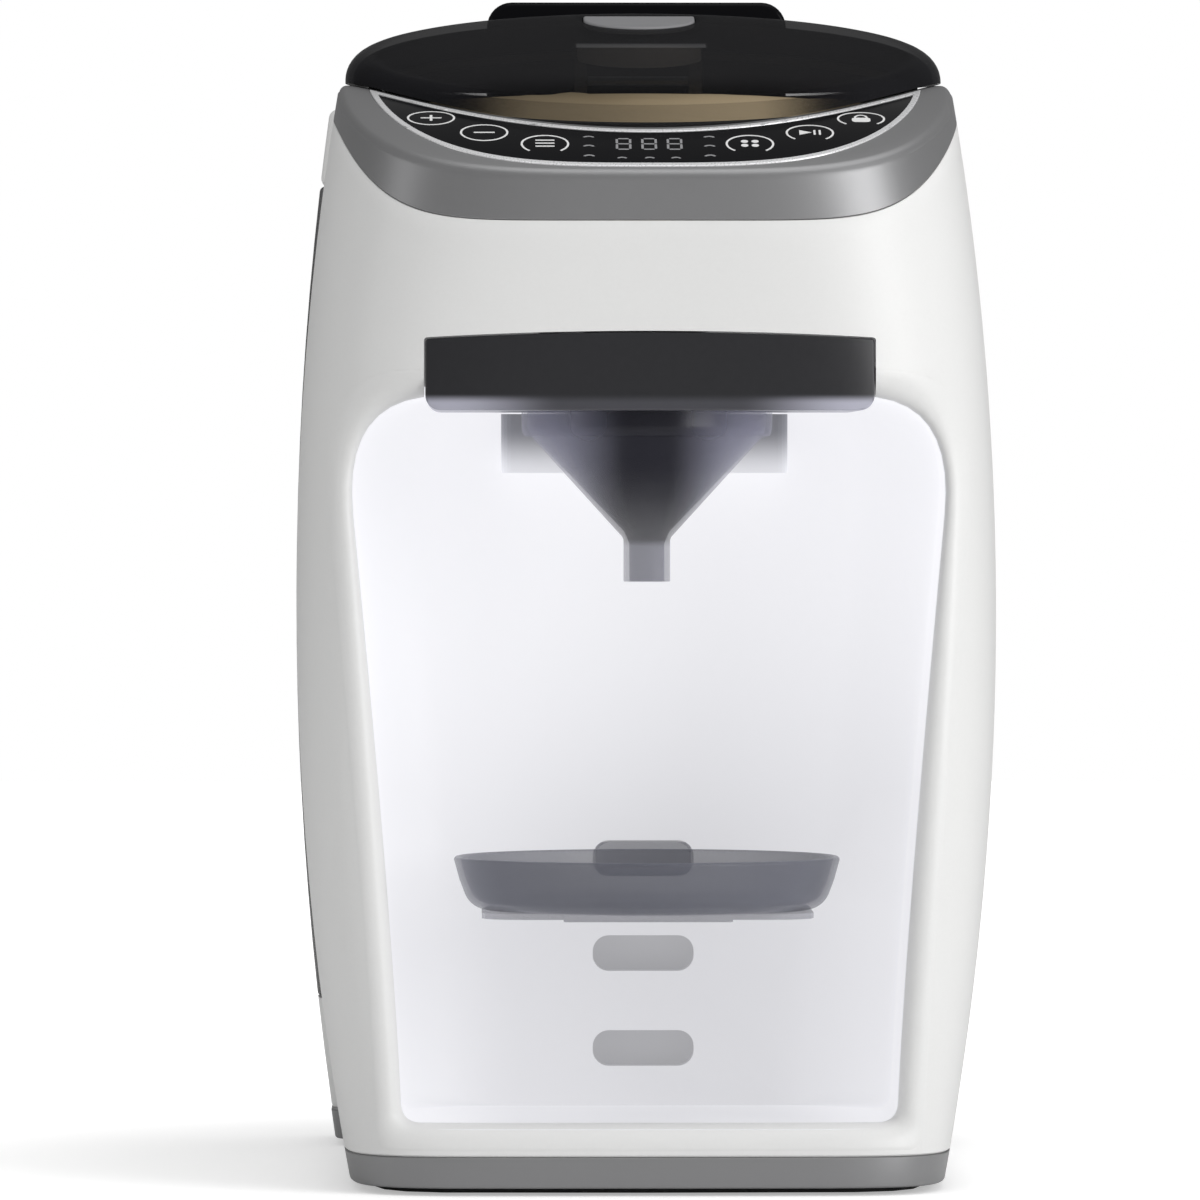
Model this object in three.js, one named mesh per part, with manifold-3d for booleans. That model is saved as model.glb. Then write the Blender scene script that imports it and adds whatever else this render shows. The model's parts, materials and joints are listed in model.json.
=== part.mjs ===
// Baby formula maker: a countertop machine that doses powder and warm water into a bottle.
// Millimetres, +Z up, the front faces -Y, and the origin is the middle of the footprint on the table.
import * as THREE from 'three';
import { mergeVertices } from 'three/addons/utils/BufferGeometryUtils.js';
import Module from 'manifold-3d';

const wasm = await Module();
wasm.setup();

// Clearances and the run of every cutter past the face it opens
const seatGap = 0.35;
const runGap = 0.8;
const overrun = 6;

// Outer form of the housing
const body = {
  centreY: -21,
  rearClear: 22.2,
  widestHalf: 107.4,
  widestZ: 180,
  sideRadius: 960,
  bottomZ: 11.8,
  topZ: 345,
  wall: 2.8,
  seamY: 40,
};
const cornerShares = { frontBase: 7.5, frontTop: 3.3, rear: 10 };
const ringCount = 28;
const innerRingCount = 20;
const tankRingCount = 20;
const lidRingCount = 28;
const levelCount = 7;
const innerLevelCount = 5;

// Grey band round the top, its lower edge and the sloping deck
const band = { sideOver: 0.625, topInset: 7.4, edgeDrop: 45, rise: 30, deckDrop: 30.5, deckThick: 4.2 };
const bandPowerShare = 7;

// Crescent control panel on the deck
const panel = {
  sideInset: 10.375,
  width: 25.5,
  frontInset: 5,
  lidGap: 1.7,
  glass: 1.8,
  trimWidth: 1.6,
  trimInset: 0.6,
  trimProud: 0.35,
};
const panelPowerShare = 3.3;
const display = { half: 17, frontInset: 13, depth: 14 };
const board = { thick: 1.6, inset: 6 };

// Powder container, its deck and its sloping lid
const container = {
  sideClear: 8.375,
  wall: 2.5,
  height: 67,
  floorThick: 3,
  rimDrop: 2.6,
  outletOver: 0.4,
  ringInset: 42,
  ringWall: 3,
  mouthGap: 4.6,
};
const deck = { drop: 7, thick: 3, outletOver: 1 };
const tiltShare = 0.175;
const lid = { overhang: 6.8, rise: 12.4, deckGap: 3, wall: 2.5, round: 8, ringInset: 8.3, ringWall: 2 };
const lidHinge = {
  reach: 8,
  rise: 5.4,
  knuckleRadius: 3.2,
  pinRadius: 1.5,
  earHalf: 16,
  knuckleWidth: 8,
  notchRise: 9,
  notchDepth: 7.5,
};
const lidSeal = { innerInset: 4, outerInset: 0.4, thick: 2.5 };
const button = {
  half: 17.7,
  length: 24,
  edgeInset: 16.8,
  thick: 2.4,
  proud: 0.6,
  stem: 6,
  stemInset: 3,
  stemWall: 1.8,
};
const well = { wall: 1.8, depth: 12, floor: 1.6 };
const spring = { radius: 5.2, wire: 0.45 };
const springTurnCount = 3;

// Agitator, dosing wheel and its drive
const hub = { radius: 8.4, peg: 4, pegRise: 7 };
const wheel = { sideGap: 1.5, thick: 10, rim: 4.4 };
const pocketSizeShare = 0.12326;
const wheelPocketCount = 8;
const stir = {
  coverGap: 1.7,
  thick: 6.8,
  sideGap: 1,
  armWidth: 7,
  armRound: 0.7,
  tipRound: 2.3,
  hubRadius: 9,
};
const stirArmCount = 3;
const cover = { inset: 15, thick: 1.8 };
const coverHalfDegrees = 30;
const gear = { module: 1.4, root: 1.75, tip: 1.26, rise: 2.7, deckGap: 4, shaft: 3, bore: 2.4 };
const gearToothCount = 24;
const pinionToothCount = 8;
const toothShares = { root: 0.3, tip: 0.12 };
const meshGap = 0.45;
const gearbox = { wall: 2, linerGap: 2.5, tipGap: 0.8 };
const dog = { radius: 5.2, rise: 2, height: 9, shaft: 3.6, stub: 2 };
const motor = { radius: 13.5, gap: 0.7, length: 49.6, shaft: 1.4, capRadius: 5 };

// Mixing drawer and the funnel that hangs in its floor
const drawer = {
  sideInset: 40,
  height: 23.4,
  deckGap: 1.9,
  flangeGap: 2.8,
  wall: 2.5,
  frontWall: 3.2,
  lowerRadius: 4.5,
  upperRadius: 1,
};
const funnel = {
  rearClear: 4,
  frontClear: 16,
  flangeThick: 1.8,
  lip: 3.7,
  shoulderDrop: 2.7,
  bendInset: 2.7,
  bendDrop: 4.6,
  neckRadius: 7.9,
  neckDrop: 31.2,
  throatDrop: 2.1,
  spoutRadius: 7.15,
  spoutLength: 11.3,
  wall: 1.8,
};

// Water shroud, light bar, nozzle and valve behind the funnel
const shroud = { sideInset: 23.1, funnelGap: 0.7, height: 18.2, drawerGap: 0.5, wall: 2, radius: 3 };
const lightBar = { thick: 3, rise: 0.8 };
const nozzle = { rise: 14.3, radius: 2.6, reach: 20 };
const valve = { half: 6, setBack: 11, depth: 24, drop: 10, round: 0.7 };

// Bottle bay, its liner, the tray and the tray's bracket
const bay = {
  floorZ: 21.6,
  topOverlap: 4.3,
  bottomInset: 32.8,
  topInset: 14.6,
  topRadius: 24,
  bottomRadius: 6,
  lip: 1.6,
  wall: 2.2,
  trayGap: 2.1,
};
const bayFlareShare = 1.25;
const pocket = { half: 15.75, halfHeight: 5.6, radius: 5, rise: 16.2, pitch: 29.6, depth: 10, wall: 2 };
const pocketCount = 3;
const tray = {
  sideGap: 13.1,
  hookDrop: 13.2,
  height: 16.2,
  wall: 2,
  midInset: 1.8,
  midRise: 8.6,
  lowInset: 3.9,
  lowRise: 3.1,
  footInset: 7.9,
  floorInset: 9.9,
};
const bracket = {
  inset: 11.1,
  thick: 1.7,
  frontReach: 30,
  rearGap: 7,
  corner: 12.8,
  centreHalf: 25.6,
  centreDrop: 0.7,
  armHalf: 14.8,
  armRound: 0.75,
  upright: 1.5,
  tongue: 8,
  tongueClear: 0.7,
};

// Water tank, its shelf and its lid
const tank = {
  bodyGap: 1.9,
  depth: 45.6,
  sideOver: 3.1,
  widestDrop: 5,
  sideRadius: 1171,
  shelfTopZ: 47,
  topDrop: 35,
  lidHeight: 25,
  wall: 2.6,
};
const tankCornerShares = { front: 12, rear: 6 };
const spout = { radius: 8, wall: 1.8, length: 7 };
const grommet = { radius: 11.2, height: 4 };
const handle = {
  half: 48.4,
  frontInset: 2.1,
  rearInset: 9.5,
  rise: 34.5,
  leg: 9,
  bar: 11,
  radius: 8,
  innerRadius: 4,
};
const tankHinge = { pinRadius: 1.4, knuckleRadius: 2.8, earInset: 50.5, earWidth: 7, drop: 0.2 };
const strainer = { rim: 1.8, height: 10.4 };

// Base, plinth and feet
const base = { bottomZ: 2.3, floor: 2.7, wall: 3, overlap: 14 };
const plinth = { bottomZ: 0.7, thick: 1.3, inset: 6 };
const foot = { radius: 9, frontX: 33, frontInset: 28, sideInset: 35.4, rearInset: 21.5 };

// Heater, pump, boards, hoses and the inlet
const heater = { sideInset: 57.4, rearInset: 49, radius: 20, topZ: 135, ribWidth: 6, ribDepth: 2.5 };
const heaterRibCount = 3;
const pump = {
  sideInset: 62.4,
  rearInset: 39,
  radius: 18,
  topZ: 38,
  bore: 14,
  boreZ: 20,
  rotorHub: 5,
  vane: 1.6,
};
const vaneCount = 6;
const hose = { radius: 3.2, z: 26, bend: 12.8, sweep: 7.2 };
const mainBoard = { half: 50, bottomZ: 90, height: 100, standoff: 3.4, bossRadius: 3, bossInset: 7 };
const inlet = {
  x: 58,
  z: 27,
  half: 14,
  halfHeight: 10,
  depth: 18,
  wall: 2.5,
  pinHalf: 1,
  pinLength: 11,
  pinPitch: 7,
};
const rocker = { x: 20, half: 9, halfHeight: 6, depth: 8, dish: 1 };
const passage = { half: 26, bottomZ: 16, topZ: 40 };

// Heights that follow from others, down from the housing's top and up from the bay's floor
band.deckZ = body.topZ - band.topInset;
band.edgeZ = band.deckZ - band.edgeDrop;
container.rimZ = band.deckZ - container.rimDrop;
container.floorZ = container.rimZ - container.height;
lid.topZ = container.rimZ + lid.rise;
lidHinge.z = band.deckZ + lidHinge.rise;
lidHinge.notchZ = lidHinge.z + lidHinge.notchRise;
deck.bottomZ = container.floorZ - deck.drop;
deck.topZ = deck.bottomZ + deck.thick;
wheel.bottomZ = container.floorZ + container.floorThick + seatGap;
wheel.topZ = wheel.bottomZ + wheel.thick;
cover.bottomZ = wheel.topZ + seatGap;
stir.bottomZ = cover.bottomZ + cover.thick + stir.coverGap;
stir.topZ = stir.bottomZ + stir.thick;
hub.pegTopZ = stir.topZ + hub.pegRise;
dog.bottomZ = deck.topZ + dog.rise;
dog.topZ = dog.bottomZ + dog.height;
drawer.topZ = deck.bottomZ - drawer.deckGap;
drawer.bottomZ = drawer.topZ - drawer.height;
bay.topZ = drawer.bottomZ + bay.topOverlap;
gearbox.floorZ = bay.topZ + bay.lip + bay.wall + gearbox.linerGap;
gear.bottomZ = gearbox.floorZ + gear.rise;
gear.topZ = deck.bottomZ - gear.deckGap;
motor.topZ = gearbox.floorZ - motor.gap;
motor.bottomZ = motor.topZ - motor.length;
shroud.topZ = drawer.bottomZ - shroud.drawerGap;
shroud.bottomZ = shroud.topZ - shroud.height;
nozzle.z = drawer.bottomZ + nozzle.rise;
valve.bottomZ = nozzle.z - valve.drop;
pocket.lowestZ = bay.floorZ + pocket.rise;
pocket.highestZ = pocket.lowestZ + pocket.pitch * (pocketCount - 1);
tray.floorZ = pocket.highestZ - tray.hookDrop;
tray.rimZ = tray.floorZ + tray.height;
tank.widestZ = body.widestZ - tank.widestDrop;
tank.topZ = body.topZ - tank.topDrop;
tank.lidTopZ = tank.topZ + tank.lidHeight;
spout.bottomZ = tank.shelfTopZ - spout.length;
handle.topZ = tank.lidTopZ + handle.rise;
mainBoard.topZ = mainBoard.bottomZ + mainBoard.height;

// Plans that follow from others: the round container fills the deck, and the depth follows the round lid
const deckHalf = bowed(body.widestHalf, body.widestZ, body.sideRadius, band.deckZ);
container.radius = deckHalf - container.sideClear;
container.ringRadius = container.radius - container.ringInset;
lid.radius = container.radius + lid.overhang;
lid.ringRadius = lid.radius - lid.ringInset;
panel.innerRadius = lid.radius + panel.lidGap;
panel.depth = panel.innerRadius + panel.width;
panel.half = deckHalf - panel.sideInset;
body.frontDepth = panel.depth + panel.frontInset;
body.rearDepth = lid.radius + body.rearClear;
const frontY = body.centreY - body.frontDepth;
const bodyRearY = body.centreY + body.rearDepth;
wheel.radius = container.radius - container.wall - wheel.sideGap;
wheel.pocketRadius = container.radius * pocketSizeShare;
container.outletRadius = wheel.pocketRadius + container.outletOver;
deck.outletRadius = container.outletRadius + deck.outletOver;
const outletOrbit = wheel.radius - wheel.rim - wheel.pocketRadius;
const outletY = body.centreY - outletOrbit;
const gearPitch = (gearToothCount * gear.module) / 2;
const pinionPitch = (pinionToothCount * gear.module) / 2;
gearbox.radius = gearPitch + gear.module + gearbox.tipGap + gearbox.wall;
band.half = deckHalf + band.sideOver;
lidHinge.y = body.centreY + container.radius + lidHinge.reach;
button.rearY = body.centreY + lid.radius - button.edgeInset;
button.frontY = button.rearY - button.length;
stir.radius = wheel.radius - stir.sideGap;
display.frontY = frontY + display.frontInset;
display.rearY = display.frontY + display.depth;
drawer.half = body.widestHalf - drawer.sideInset;
funnel.flangeRadius = (body.frontDepth - funnel.frontClear - gearbox.radius - funnel.rearClear) / 2;
funnel.centreY = frontY + funnel.frontClear + funnel.flangeRadius;
funnel.shoulderRadius = funnel.flangeRadius - funnel.lip;
drawer.rearY = funnel.centreY + funnel.flangeRadius + drawer.flangeGap;
shroud.half = drawer.half - shroud.sideInset;
shroud.frontY = funnel.centreY + funnel.shoulderRadius + shroud.funnelGap;
nozzle.x = -gearbox.radius - valve.half;
nozzle.tipY = funnel.centreY + nozzle.reach;
bay.bottomHalf = body.widestHalf - bay.bottomInset;
bay.topHalf = body.widestHalf - bay.topInset;
tray.rimRadius = bay.bottomHalf - tray.sideGap;
bay.backY = funnel.centreY + tray.rimRadius + bay.trayGap;
valve.frontY = bay.backY + valve.setBack;
valve.rearY = valve.frontY + valve.depth;
bracket.half = tray.rimRadius - bracket.inset;
bracket.frontY = funnel.centreY - bracket.frontReach;
bracket.rearY = bay.backY - bracket.rearGap;
tank.widestHalf = body.widestHalf + tank.sideOver;
tank.frontY = bodyRearY + tank.bodyGap;
tank.rearY = tank.frontY + tank.depth;
tankHinge.earX = tank.widestHalf - tankHinge.earInset;
handle.frontY = tank.frontY + handle.frontInset;
handle.rearY = tank.rearY - handle.rearInset;
base.frontOfRear = bodyRearY - base.overlap;
foot.frontY = frontY + foot.frontInset;
foot.rearX = body.widestHalf - foot.sideInset;
foot.rearY = tank.rearY - foot.rearInset;
heater.x = heater.sideInset - body.widestHalf;
heater.y = bodyRearY - heater.rearInset;
pump.x = body.widestHalf - pump.sideInset;
pump.y = bodyRearY - pump.rearInset;

const colours = {
  white: 0xe9e9e8,
  grey: 0x8a8a8c,
  black: 0x121214,
  smoke: 0x4a4a55,
  silver: 0xc4c6c8,
  steel: 0xa9adb2,
  rubber: 0x2a2a2c,
  glow: 0xf6f7ff,
  board: 0x2e6a44,
};
const finishShares = {
  satin: { roughness: 0.45, metalness: 0 },
  gloss: { roughness: 0.12, metalness: 0 },
  metal: { roughness: 0.35, metalness: 0.9 },
  soft: { roughness: 0.85, metalness: 0 },
};

// Closed meshes as solids, and solids as named meshes

function solid(geometry) {
  const bare = geometry.clone();
  bare.deleteAttribute('normal');
  bare.deleteAttribute('uv');
  const merged = mergeVertices(bare);
  const corners = merged.index.array;
  const kept = [];
  for (let i = 0; i < corners.length; i += 3) {
    const [a, b, c] = corners.slice(i, i + 3);
    if (a !== b && b !== c && c !== a) kept.push(a, b, c);
  }
  const build = (triangles) => new wasm.Manifold(new wasm.Mesh({
    numProp: 3,
    vertProperties: new Float32Array(merged.attributes.position.array),
    triVerts: new Uint32Array(triangles),
  }));
  const made = build(kept);
  return made.volume() < 0 ? build(kept.reverse()) : made;
}

const join = (...parts) => parts.reduce((sum, part) => sum.add(part));
const cut = (from, ...tools) => tools.reduce((rest, tool) => rest.subtract(tool), from);

const formulaMaker = new THREE.Group();

function addPiece(name, shape, colour, finish, place = [0, 0, 0]) {
  const data = shape.getMesh();
  const geometry = new THREE.BufferGeometry();
  geometry.setAttribute('position', new THREE.Float32BufferAttribute(data.vertProperties, 3));
  geometry.setIndex(new THREE.Uint32BufferAttribute(data.triVerts, 1));
  geometry.computeVertexNormals();
  const material = new THREE.MeshStandardMaterial({ color: colours[colour], ...finishShares[finish] });
  const mesh = new THREE.Mesh(geometry, material);
  mesh.name = name;
  mesh.position.set(...place);
  formulaMaker.add(mesh);
  return mesh;
}

// Basic forms: boxes, prisms along each axis, turned forms, tubes and lofts

function box(x0, x1, y0, y1, z0, z1) {
  const geometry = new THREE.BoxGeometry(x1 - x0, y1 - y0, z1 - z0);
  return solid(geometry.translate((x0 + x1) / 2, (y0 + y1) / 2, (z0 + z1) / 2));
}

function extrude(shape, depth, steps) {
  return new THREE.ExtrudeGeometry(shape, { depth, bevelEnabled: false, curveSegments: steps });
}

const prismZ = (shape, z0, z1, steps = 2) => solid(extrude(shape, z1 - z0, steps).translate(0, 0, z0));

function prismY(shape, y0, y1, steps = 2) {
  return solid(extrude(shape, y1 - y0, steps).rotateX(Math.PI / 2).translate(0, y1, 0));
}

const yzAxes = new THREE.Matrix4().makeBasis(
  new THREE.Vector3(0, 1, 0),
  new THREE.Vector3(0, 0, 1),
  new THREE.Vector3(1, 0, 0),
);

function prismX(shape, x0, x1, steps = 2) {
  return solid(extrude(shape, x1 - x0, steps).applyMatrix4(yzAxes).translate(x0, 0, 0));
}

function turned(profile, steps = 32) {
  const points = profile.map(([r, z]) => new THREE.Vector2(r, z));
  return solid(new THREE.LatheGeometry([...points, points[0]], steps).rotateX(Math.PI / 2));
}

const rod = (radius, z0, z1, steps = 16) => turned([[0, z0], [radius, z0], [radius, z1], [0, z1]], steps);

const tubeRing = (inner, outer, z0, z1, steps = 20) => (
  turned([[inner, z0], [outer, z0], [outer, z1], [inner, z1]], steps)
);

function polygon(points) {
  return new THREE.Shape(points.map(([x, y]) => new THREE.Vector2(x, y)));
}

function circle(radius, x = 0, y = 0) {
  return new THREE.Shape().absarc(x, y, radius, 0, 2 * Math.PI);
}

// A rectangle with one radius for its lower corners and one for its upper corners
function roundedRect(x0, x1, y0, y1, lower, upper = lower) {
  const shape = new THREE.Shape();
  shape.moveTo(x0 + lower, y0);
  shape.lineTo(x1 - lower, y0);
  shape.absarc(x1 - lower, y0 + lower, lower, -Math.PI / 2, 0);
  shape.lineTo(x1, y1 - upper);
  shape.absarc(x1 - upper, y1 - upper, upper, 0, Math.PI / 2);
  shape.lineTo(x0 + upper, y1);
  shape.absarc(x0 + upper, y1 - upper, upper, Math.PI / 2, Math.PI);
  shape.lineTo(x0, y0 + lower);
  shape.absarc(x0 + lower, y0 + lower, lower, Math.PI, 3 * Math.PI / 2);
  return shape;
}

function loft(rings) {
  const count = rings[0].length;
  const middle = (ring) => [0, 1, 2].map((axis) => ring.reduce((sum, p) => sum + p[axis], 0) / count);
  const last = (rings.length - 1) * count;
  const points = [...rings.flat(), middle(rings[0]), middle(rings[rings.length - 1])];
  const corners = [];
  for (let i = 0; i < count; i++) {
    const next = (i + 1) % count;
    for (let k = 0; k < last; k += count) {
      corners.push(k + i, k + next, k + count + next, k + i, k + count + next, k + count + i);
    }
    corners.push(next, i, points.length - 2, last + i, last + next, points.length - 1);
  }
  const geometry = new THREE.BufferGeometry();
  geometry.setAttribute('position', new THREE.Float32BufferAttribute(points.flat(), 3));
  geometry.setIndex(corners);
  return solid(geometry);
}

function tube(points, radius, steps, sides = 4) {
  const path = new THREE.CatmullRomCurve3(points.map((p) => new THREE.Vector3(...p)));
  return solid(new THREE.ExtrudeGeometry(circle(radius), {
    steps,
    curveSegments: sides,
    bevelEnabled: false,
    extrudePath: path,
  }));
}

// The housing's plan is a superellipse whose front corners tighten towards the base

const power = (value, exponent) => Math.sign(value) * Math.abs(value) ** exponent;

function planRing(half, front, rear, shares, centreY, z, count) {
  const ring = [];
  for (let i = 0; i < count; i++) {
    const angle = (2 * Math.PI * i) / count;
    const isFront = Math.sin(angle) < 0;
    const exponent = 2 / (isFront ? shares.front : shares.rear);
    const depth = isFront ? front : rear;
    const [across, along] = [power(Math.cos(angle), exponent), power(Math.sin(angle), exponent)];
    ring.push([half * across, centreY + depth * along, z]);
  }
  return ring;
}

function bowed(widest, widestZ, radius, z) {
  return widest - (radius - Math.sqrt(radius ** 2 - (z - widestZ) ** 2));
}

const bodyHalf = (z) => bowed(body.widestHalf, body.widestZ, body.sideRadius, z);

function bodyRing(z, inset) {
  const share = Math.min(1, Math.max(0, (z - body.bottomZ) / (body.topZ - body.bottomZ)));
  const frontShare = cornerShares.frontBase + (cornerShares.frontTop - cornerShares.frontBase) * share;
  const shares = { front: frontShare, rear: cornerShares.rear };
  const count = inset ? innerRingCount : ringCount;
  const [half, front, rear] = [bodyHalf(z), body.frontDepth, body.rearDepth].map((size) => size - inset);
  return planRing(half, front, rear, shares, body.centreY, z, count);
}

function levels(z0, z1, count) {
  return Array.from({ length: count + 1 }, (_, i) => z0 + ((z1 - z0) * i) / count);
}

function bodyForm(inset, extra = 0) {
  const count = inset ? innerLevelCount : levelCount;
  return loft(levels(body.bottomZ - extra, body.topZ + extra, count).map((z) => bodyRing(z, inset)));
}

// Cutters shared by the shells: the band's lower edge and the curved deck

const farHalf = body.widestHalf + overrun;
const farRearY = tank.rearY + overrun;
const lidTallestZ = lid.topZ + tiltShare * lid.radius + overrun;

const bandEdge = (x) => band.edgeZ + band.rise * Math.abs(x / band.half) ** bandPowerShare;

function deckHeight(y) {
  const reach = Math.max(0, body.centreY - y) / body.frontDepth;
  return band.deckZ - band.deckDrop * reach ** 2;
}

function belowBand(lift) {
  const top = levels(farHalf, -farHalf, 24).map((x) => [x, bandEdge(x) + lift]);
  const shape = polygon([[-farHalf, body.bottomZ - overrun], [farHalf, body.bottomZ - overrun], ...top]);
  return prismY(shape, frontY - overrun, bodyRearY + overrun);
}

function belowDeck(drop) {
  const ys = [bodyRearY + overrun, ...levels(body.centreY, frontY - overrun, 7)];
  const shape = polygon([
    [frontY - overrun, body.bottomZ - overrun],
    [bodyRearY + overrun, body.bottomZ - overrun],
    ...ys.map((y) => [y, deckHeight(y) - drop]),
  ]);
  return prismX(shape, -farHalf, farHalf);
}

const tall = (shape, steps = 4) => prismZ(shape, body.bottomZ, lidTallestZ, steps);

// Bay outline in the front plane, its sides flaring upwards
function bayShape(outset) {
  const bottom = bay.floorZ - outset;
  const top = bay.topZ + outset;
  const half = (z) => {
    const share = Math.max(0, z - bay.floorZ) / (bay.topZ - bay.floorZ);
    return bay.bottomHalf + outset + (bay.topHalf - bay.bottomHalf) * share ** bayFlareShare;
  };
  const low = bottom + bay.bottomRadius;
  const high = top - bay.topRadius;
  const shape = new THREE.Shape();
  shape.moveTo(-half(bottom) + bay.bottomRadius, bottom);
  shape.lineTo(half(bottom) - bay.bottomRadius, bottom);
  shape.quadraticCurveTo(half(bottom), bottom, half(low), low);
  levels(low, high, 4).forEach((z) => shape.lineTo(half(z), z));
  shape.quadraticCurveTo(half(top), top, half(top) - bay.topRadius, top);
  shape.lineTo(bay.topRadius - half(top), top);
  shape.quadraticCurveTo(-half(top), top, -half(high), high);
  levels(high, low, 4).forEach((z) => shape.lineTo(-half(z), z));
  shape.quadraticCurveTo(-half(bottom), bottom, bay.bottomRadius - half(bottom), bottom);
  return shape;
}

const drawerShape = (outset) => roundedRect(
  -drawer.half - outset,
  drawer.half + outset,
  drawer.bottomZ - outset,
  drawer.topZ + outset,
  drawer.lowerRadius,
  drawer.upperRadius,
);

// Housing shells

function shells() {
  const rind = cut(bodyForm(0), bodyForm(body.wall, overrun));
  const lower = rind.intersect(belowBand(0));
  const farRear = bodyRearY + overrun;
  const frontHalf = box(-farHalf, farHalf, frontY - overrun, body.seamY, body.bottomZ, body.topZ);
  const rearHalf = box(-farHalf, farHalf, body.seamY + seatGap, farRear, body.bottomZ, body.topZ);
  const bayHole = prismY(bayShape(0), frontY - overrun, bay.backY, 5);
  const drawerHole = prismY(drawerShape(runGap / 2), frontY - overrun, bay.backY);
  addPiece('front_shell', cut(lower.intersect(frontHalf), bayHole, drawerHole), 'white', 'satin');

  const boardFace = bodyRearY - body.wall - mainBoard.standoff;
  const bosses = [-1, 1].flatMap((side) => [-1, 1].map((end) => {
    const x = side * (mainBoard.half - mainBoard.bossInset);
    const middle = (mainBoard.bottomZ + mainBoard.topZ) / 2;
    const z = middle + end * ((mainBoard.topZ - mainBoard.bottomZ) / 2 - mainBoard.bossInset);
    return prismY(circle(mainBoard.bossRadius, x, z), boardFace, bodyRearY - body.wall / 2, 3);
  }));
  const hosePass = box(
    -passage.half, passage.half,
    body.seamY + overrun, farRear,
    passage.bottomZ, passage.topZ,
  );
  addPiece('rear_shell', cut(join(lower.intersect(rearHalf), ...bosses), hosePass), 'white', 'satin');
  const boardFrontY = boardFace - seatGap - board.thick;
  addPiece('main_board', box(
    -mainBoard.half, mainBoard.half,
    boardFrontY, boardFace - seatGap,
    mainBoard.bottomZ, mainBoard.topZ,
  ), 'board', 'satin');
}

// Crescent plan of the panel: a superellipse in front, the lid's circle behind
function crescent(outset) {
  const edge = (angle) => {
    const across = Math.abs(Math.sin(angle) / panel.half) ** panelPowerShare;
    const along = Math.abs(Math.cos(angle) / panel.depth) ** panelPowerShare;
    return (across + along) ** (-1 / panelPowerShare) + outset;
  };
  const inner = panel.innerRadius - outset;
  let [near, far] = [0, Math.PI / 2];
  for (let i = 0; i < 40; i++) {
    const middle = (near + far) / 2;
    if (edge(middle) > inner) near = middle;
    else far = middle;
  }
  const at = (radius, angle) => [radius * Math.sin(angle), body.centreY - radius * Math.cos(angle)];
  const outline = levels(-near, near, 20).map((angle) => at(edge(angle), angle));
  const back = levels(near, -near, 14).slice(1, -1).map((angle) => at(inner, angle));
  return polygon([...outline, ...back]);
}

function topBand() {
  const rim = cut(bodyForm(0).intersect(belowDeck(0)), belowBand(seatGap));
  const hollow = bodyForm(body.wall, overrun).intersect(belowDeck(band.deckThick));
  const mouthRadius = container.radius + container.mouthGap;
  const mouth = rod(mouthRadius, body.bottomZ, body.topZ + overrun, 28).translate(0, body.centreY, 0);
  const recess = panel.glass + seatGap;
  const pocketCut = cut(tall(crescent(panel.trimWidth + seatGap)), belowDeck(recess));
  const window = box(
    -display.half - seatGap, display.half + seatGap,
    display.frontY - seatGap, display.rearY + seatGap,
    body.bottomZ, body.topZ,
  );
  addPiece('top_band', cut(rim, hollow, mouth, pocketCut, window), 'grey', 'satin');

  const glassForm = tall(crescent(-panel.trimInset - seatGap)).intersect(belowDeck(0));
  addPiece('control_glass', cut(glassForm, belowDeck(panel.glass)), 'black', 'gloss');
  const trimForm = cut(tall(crescent(panel.trimWidth)), tall(crescent(-panel.trimInset)));
  const trim = cut(trimForm.intersect(belowDeck(-panel.trimProud)), belowDeck(panel.glass));
  addPiece('panel_trim', trim, 'silver', 'metal');

  const boardTop = band.deckThick + seatGap;
  const boardForm = tall(crescent(-board.inset)).intersect(belowDeck(boardTop));
  addPiece('touch_board', cut(boardForm, belowDeck(boardTop + board.thick)), 'board', 'satin');
  const block = box(-display.half, display.half, display.frontY, display.rearY, body.bottomZ, body.topZ);
  const screen = cut(block.intersect(belowDeck(panel.glass + seatGap)), belowDeck(boardTop - seatGap));
  addPiece('display_module', screen, 'grey', 'gloss');
}

// Liner of the bottle bay with three hook pockets in its back wall
function bayLiner() {
  const start = frontY - overrun;
  const outer = prismY(bayShape(bay.lip + bay.wall), start, bay.backY + bay.wall, 4);
  const hollow = prismY(bayShape(bay.lip), start - overrun, bay.backY, 4);
  const shell = cut(outer, hollow).intersect(bodyForm(body.wall + seatGap, overrun));
  const drawerPath = box(
    -drawer.half - runGap, drawer.half + runGap,
    start - overrun, drawer.rearY + runGap,
    drawer.bottomZ - runGap, body.topZ,
  );
  const pocketShape = (outset, z) => roundedRect(
    -pocket.half - outset, pocket.half + outset,
    z - pocket.halfHeight - outset, z + pocket.halfHeight + outset,
    pocket.radius + outset,
  );
  const pocketBackY = bay.backY + pocket.depth;
  const heights = levels(pocket.lowestZ, pocket.highestZ, pocketCount - 1);
  const backs = heights.map((z) => prismY(pocketShape(pocket.wall, z), bay.backY, pocketBackY + pocket.wall));
  const holes = heights.map((z) => prismY(pocketShape(0, z), bay.backY - overrun, pocketBackY));
  addPiece('bay_liner', cut(join(cut(shell, drawerPath), ...backs), ...holes), 'glow', 'satin');
}

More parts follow.
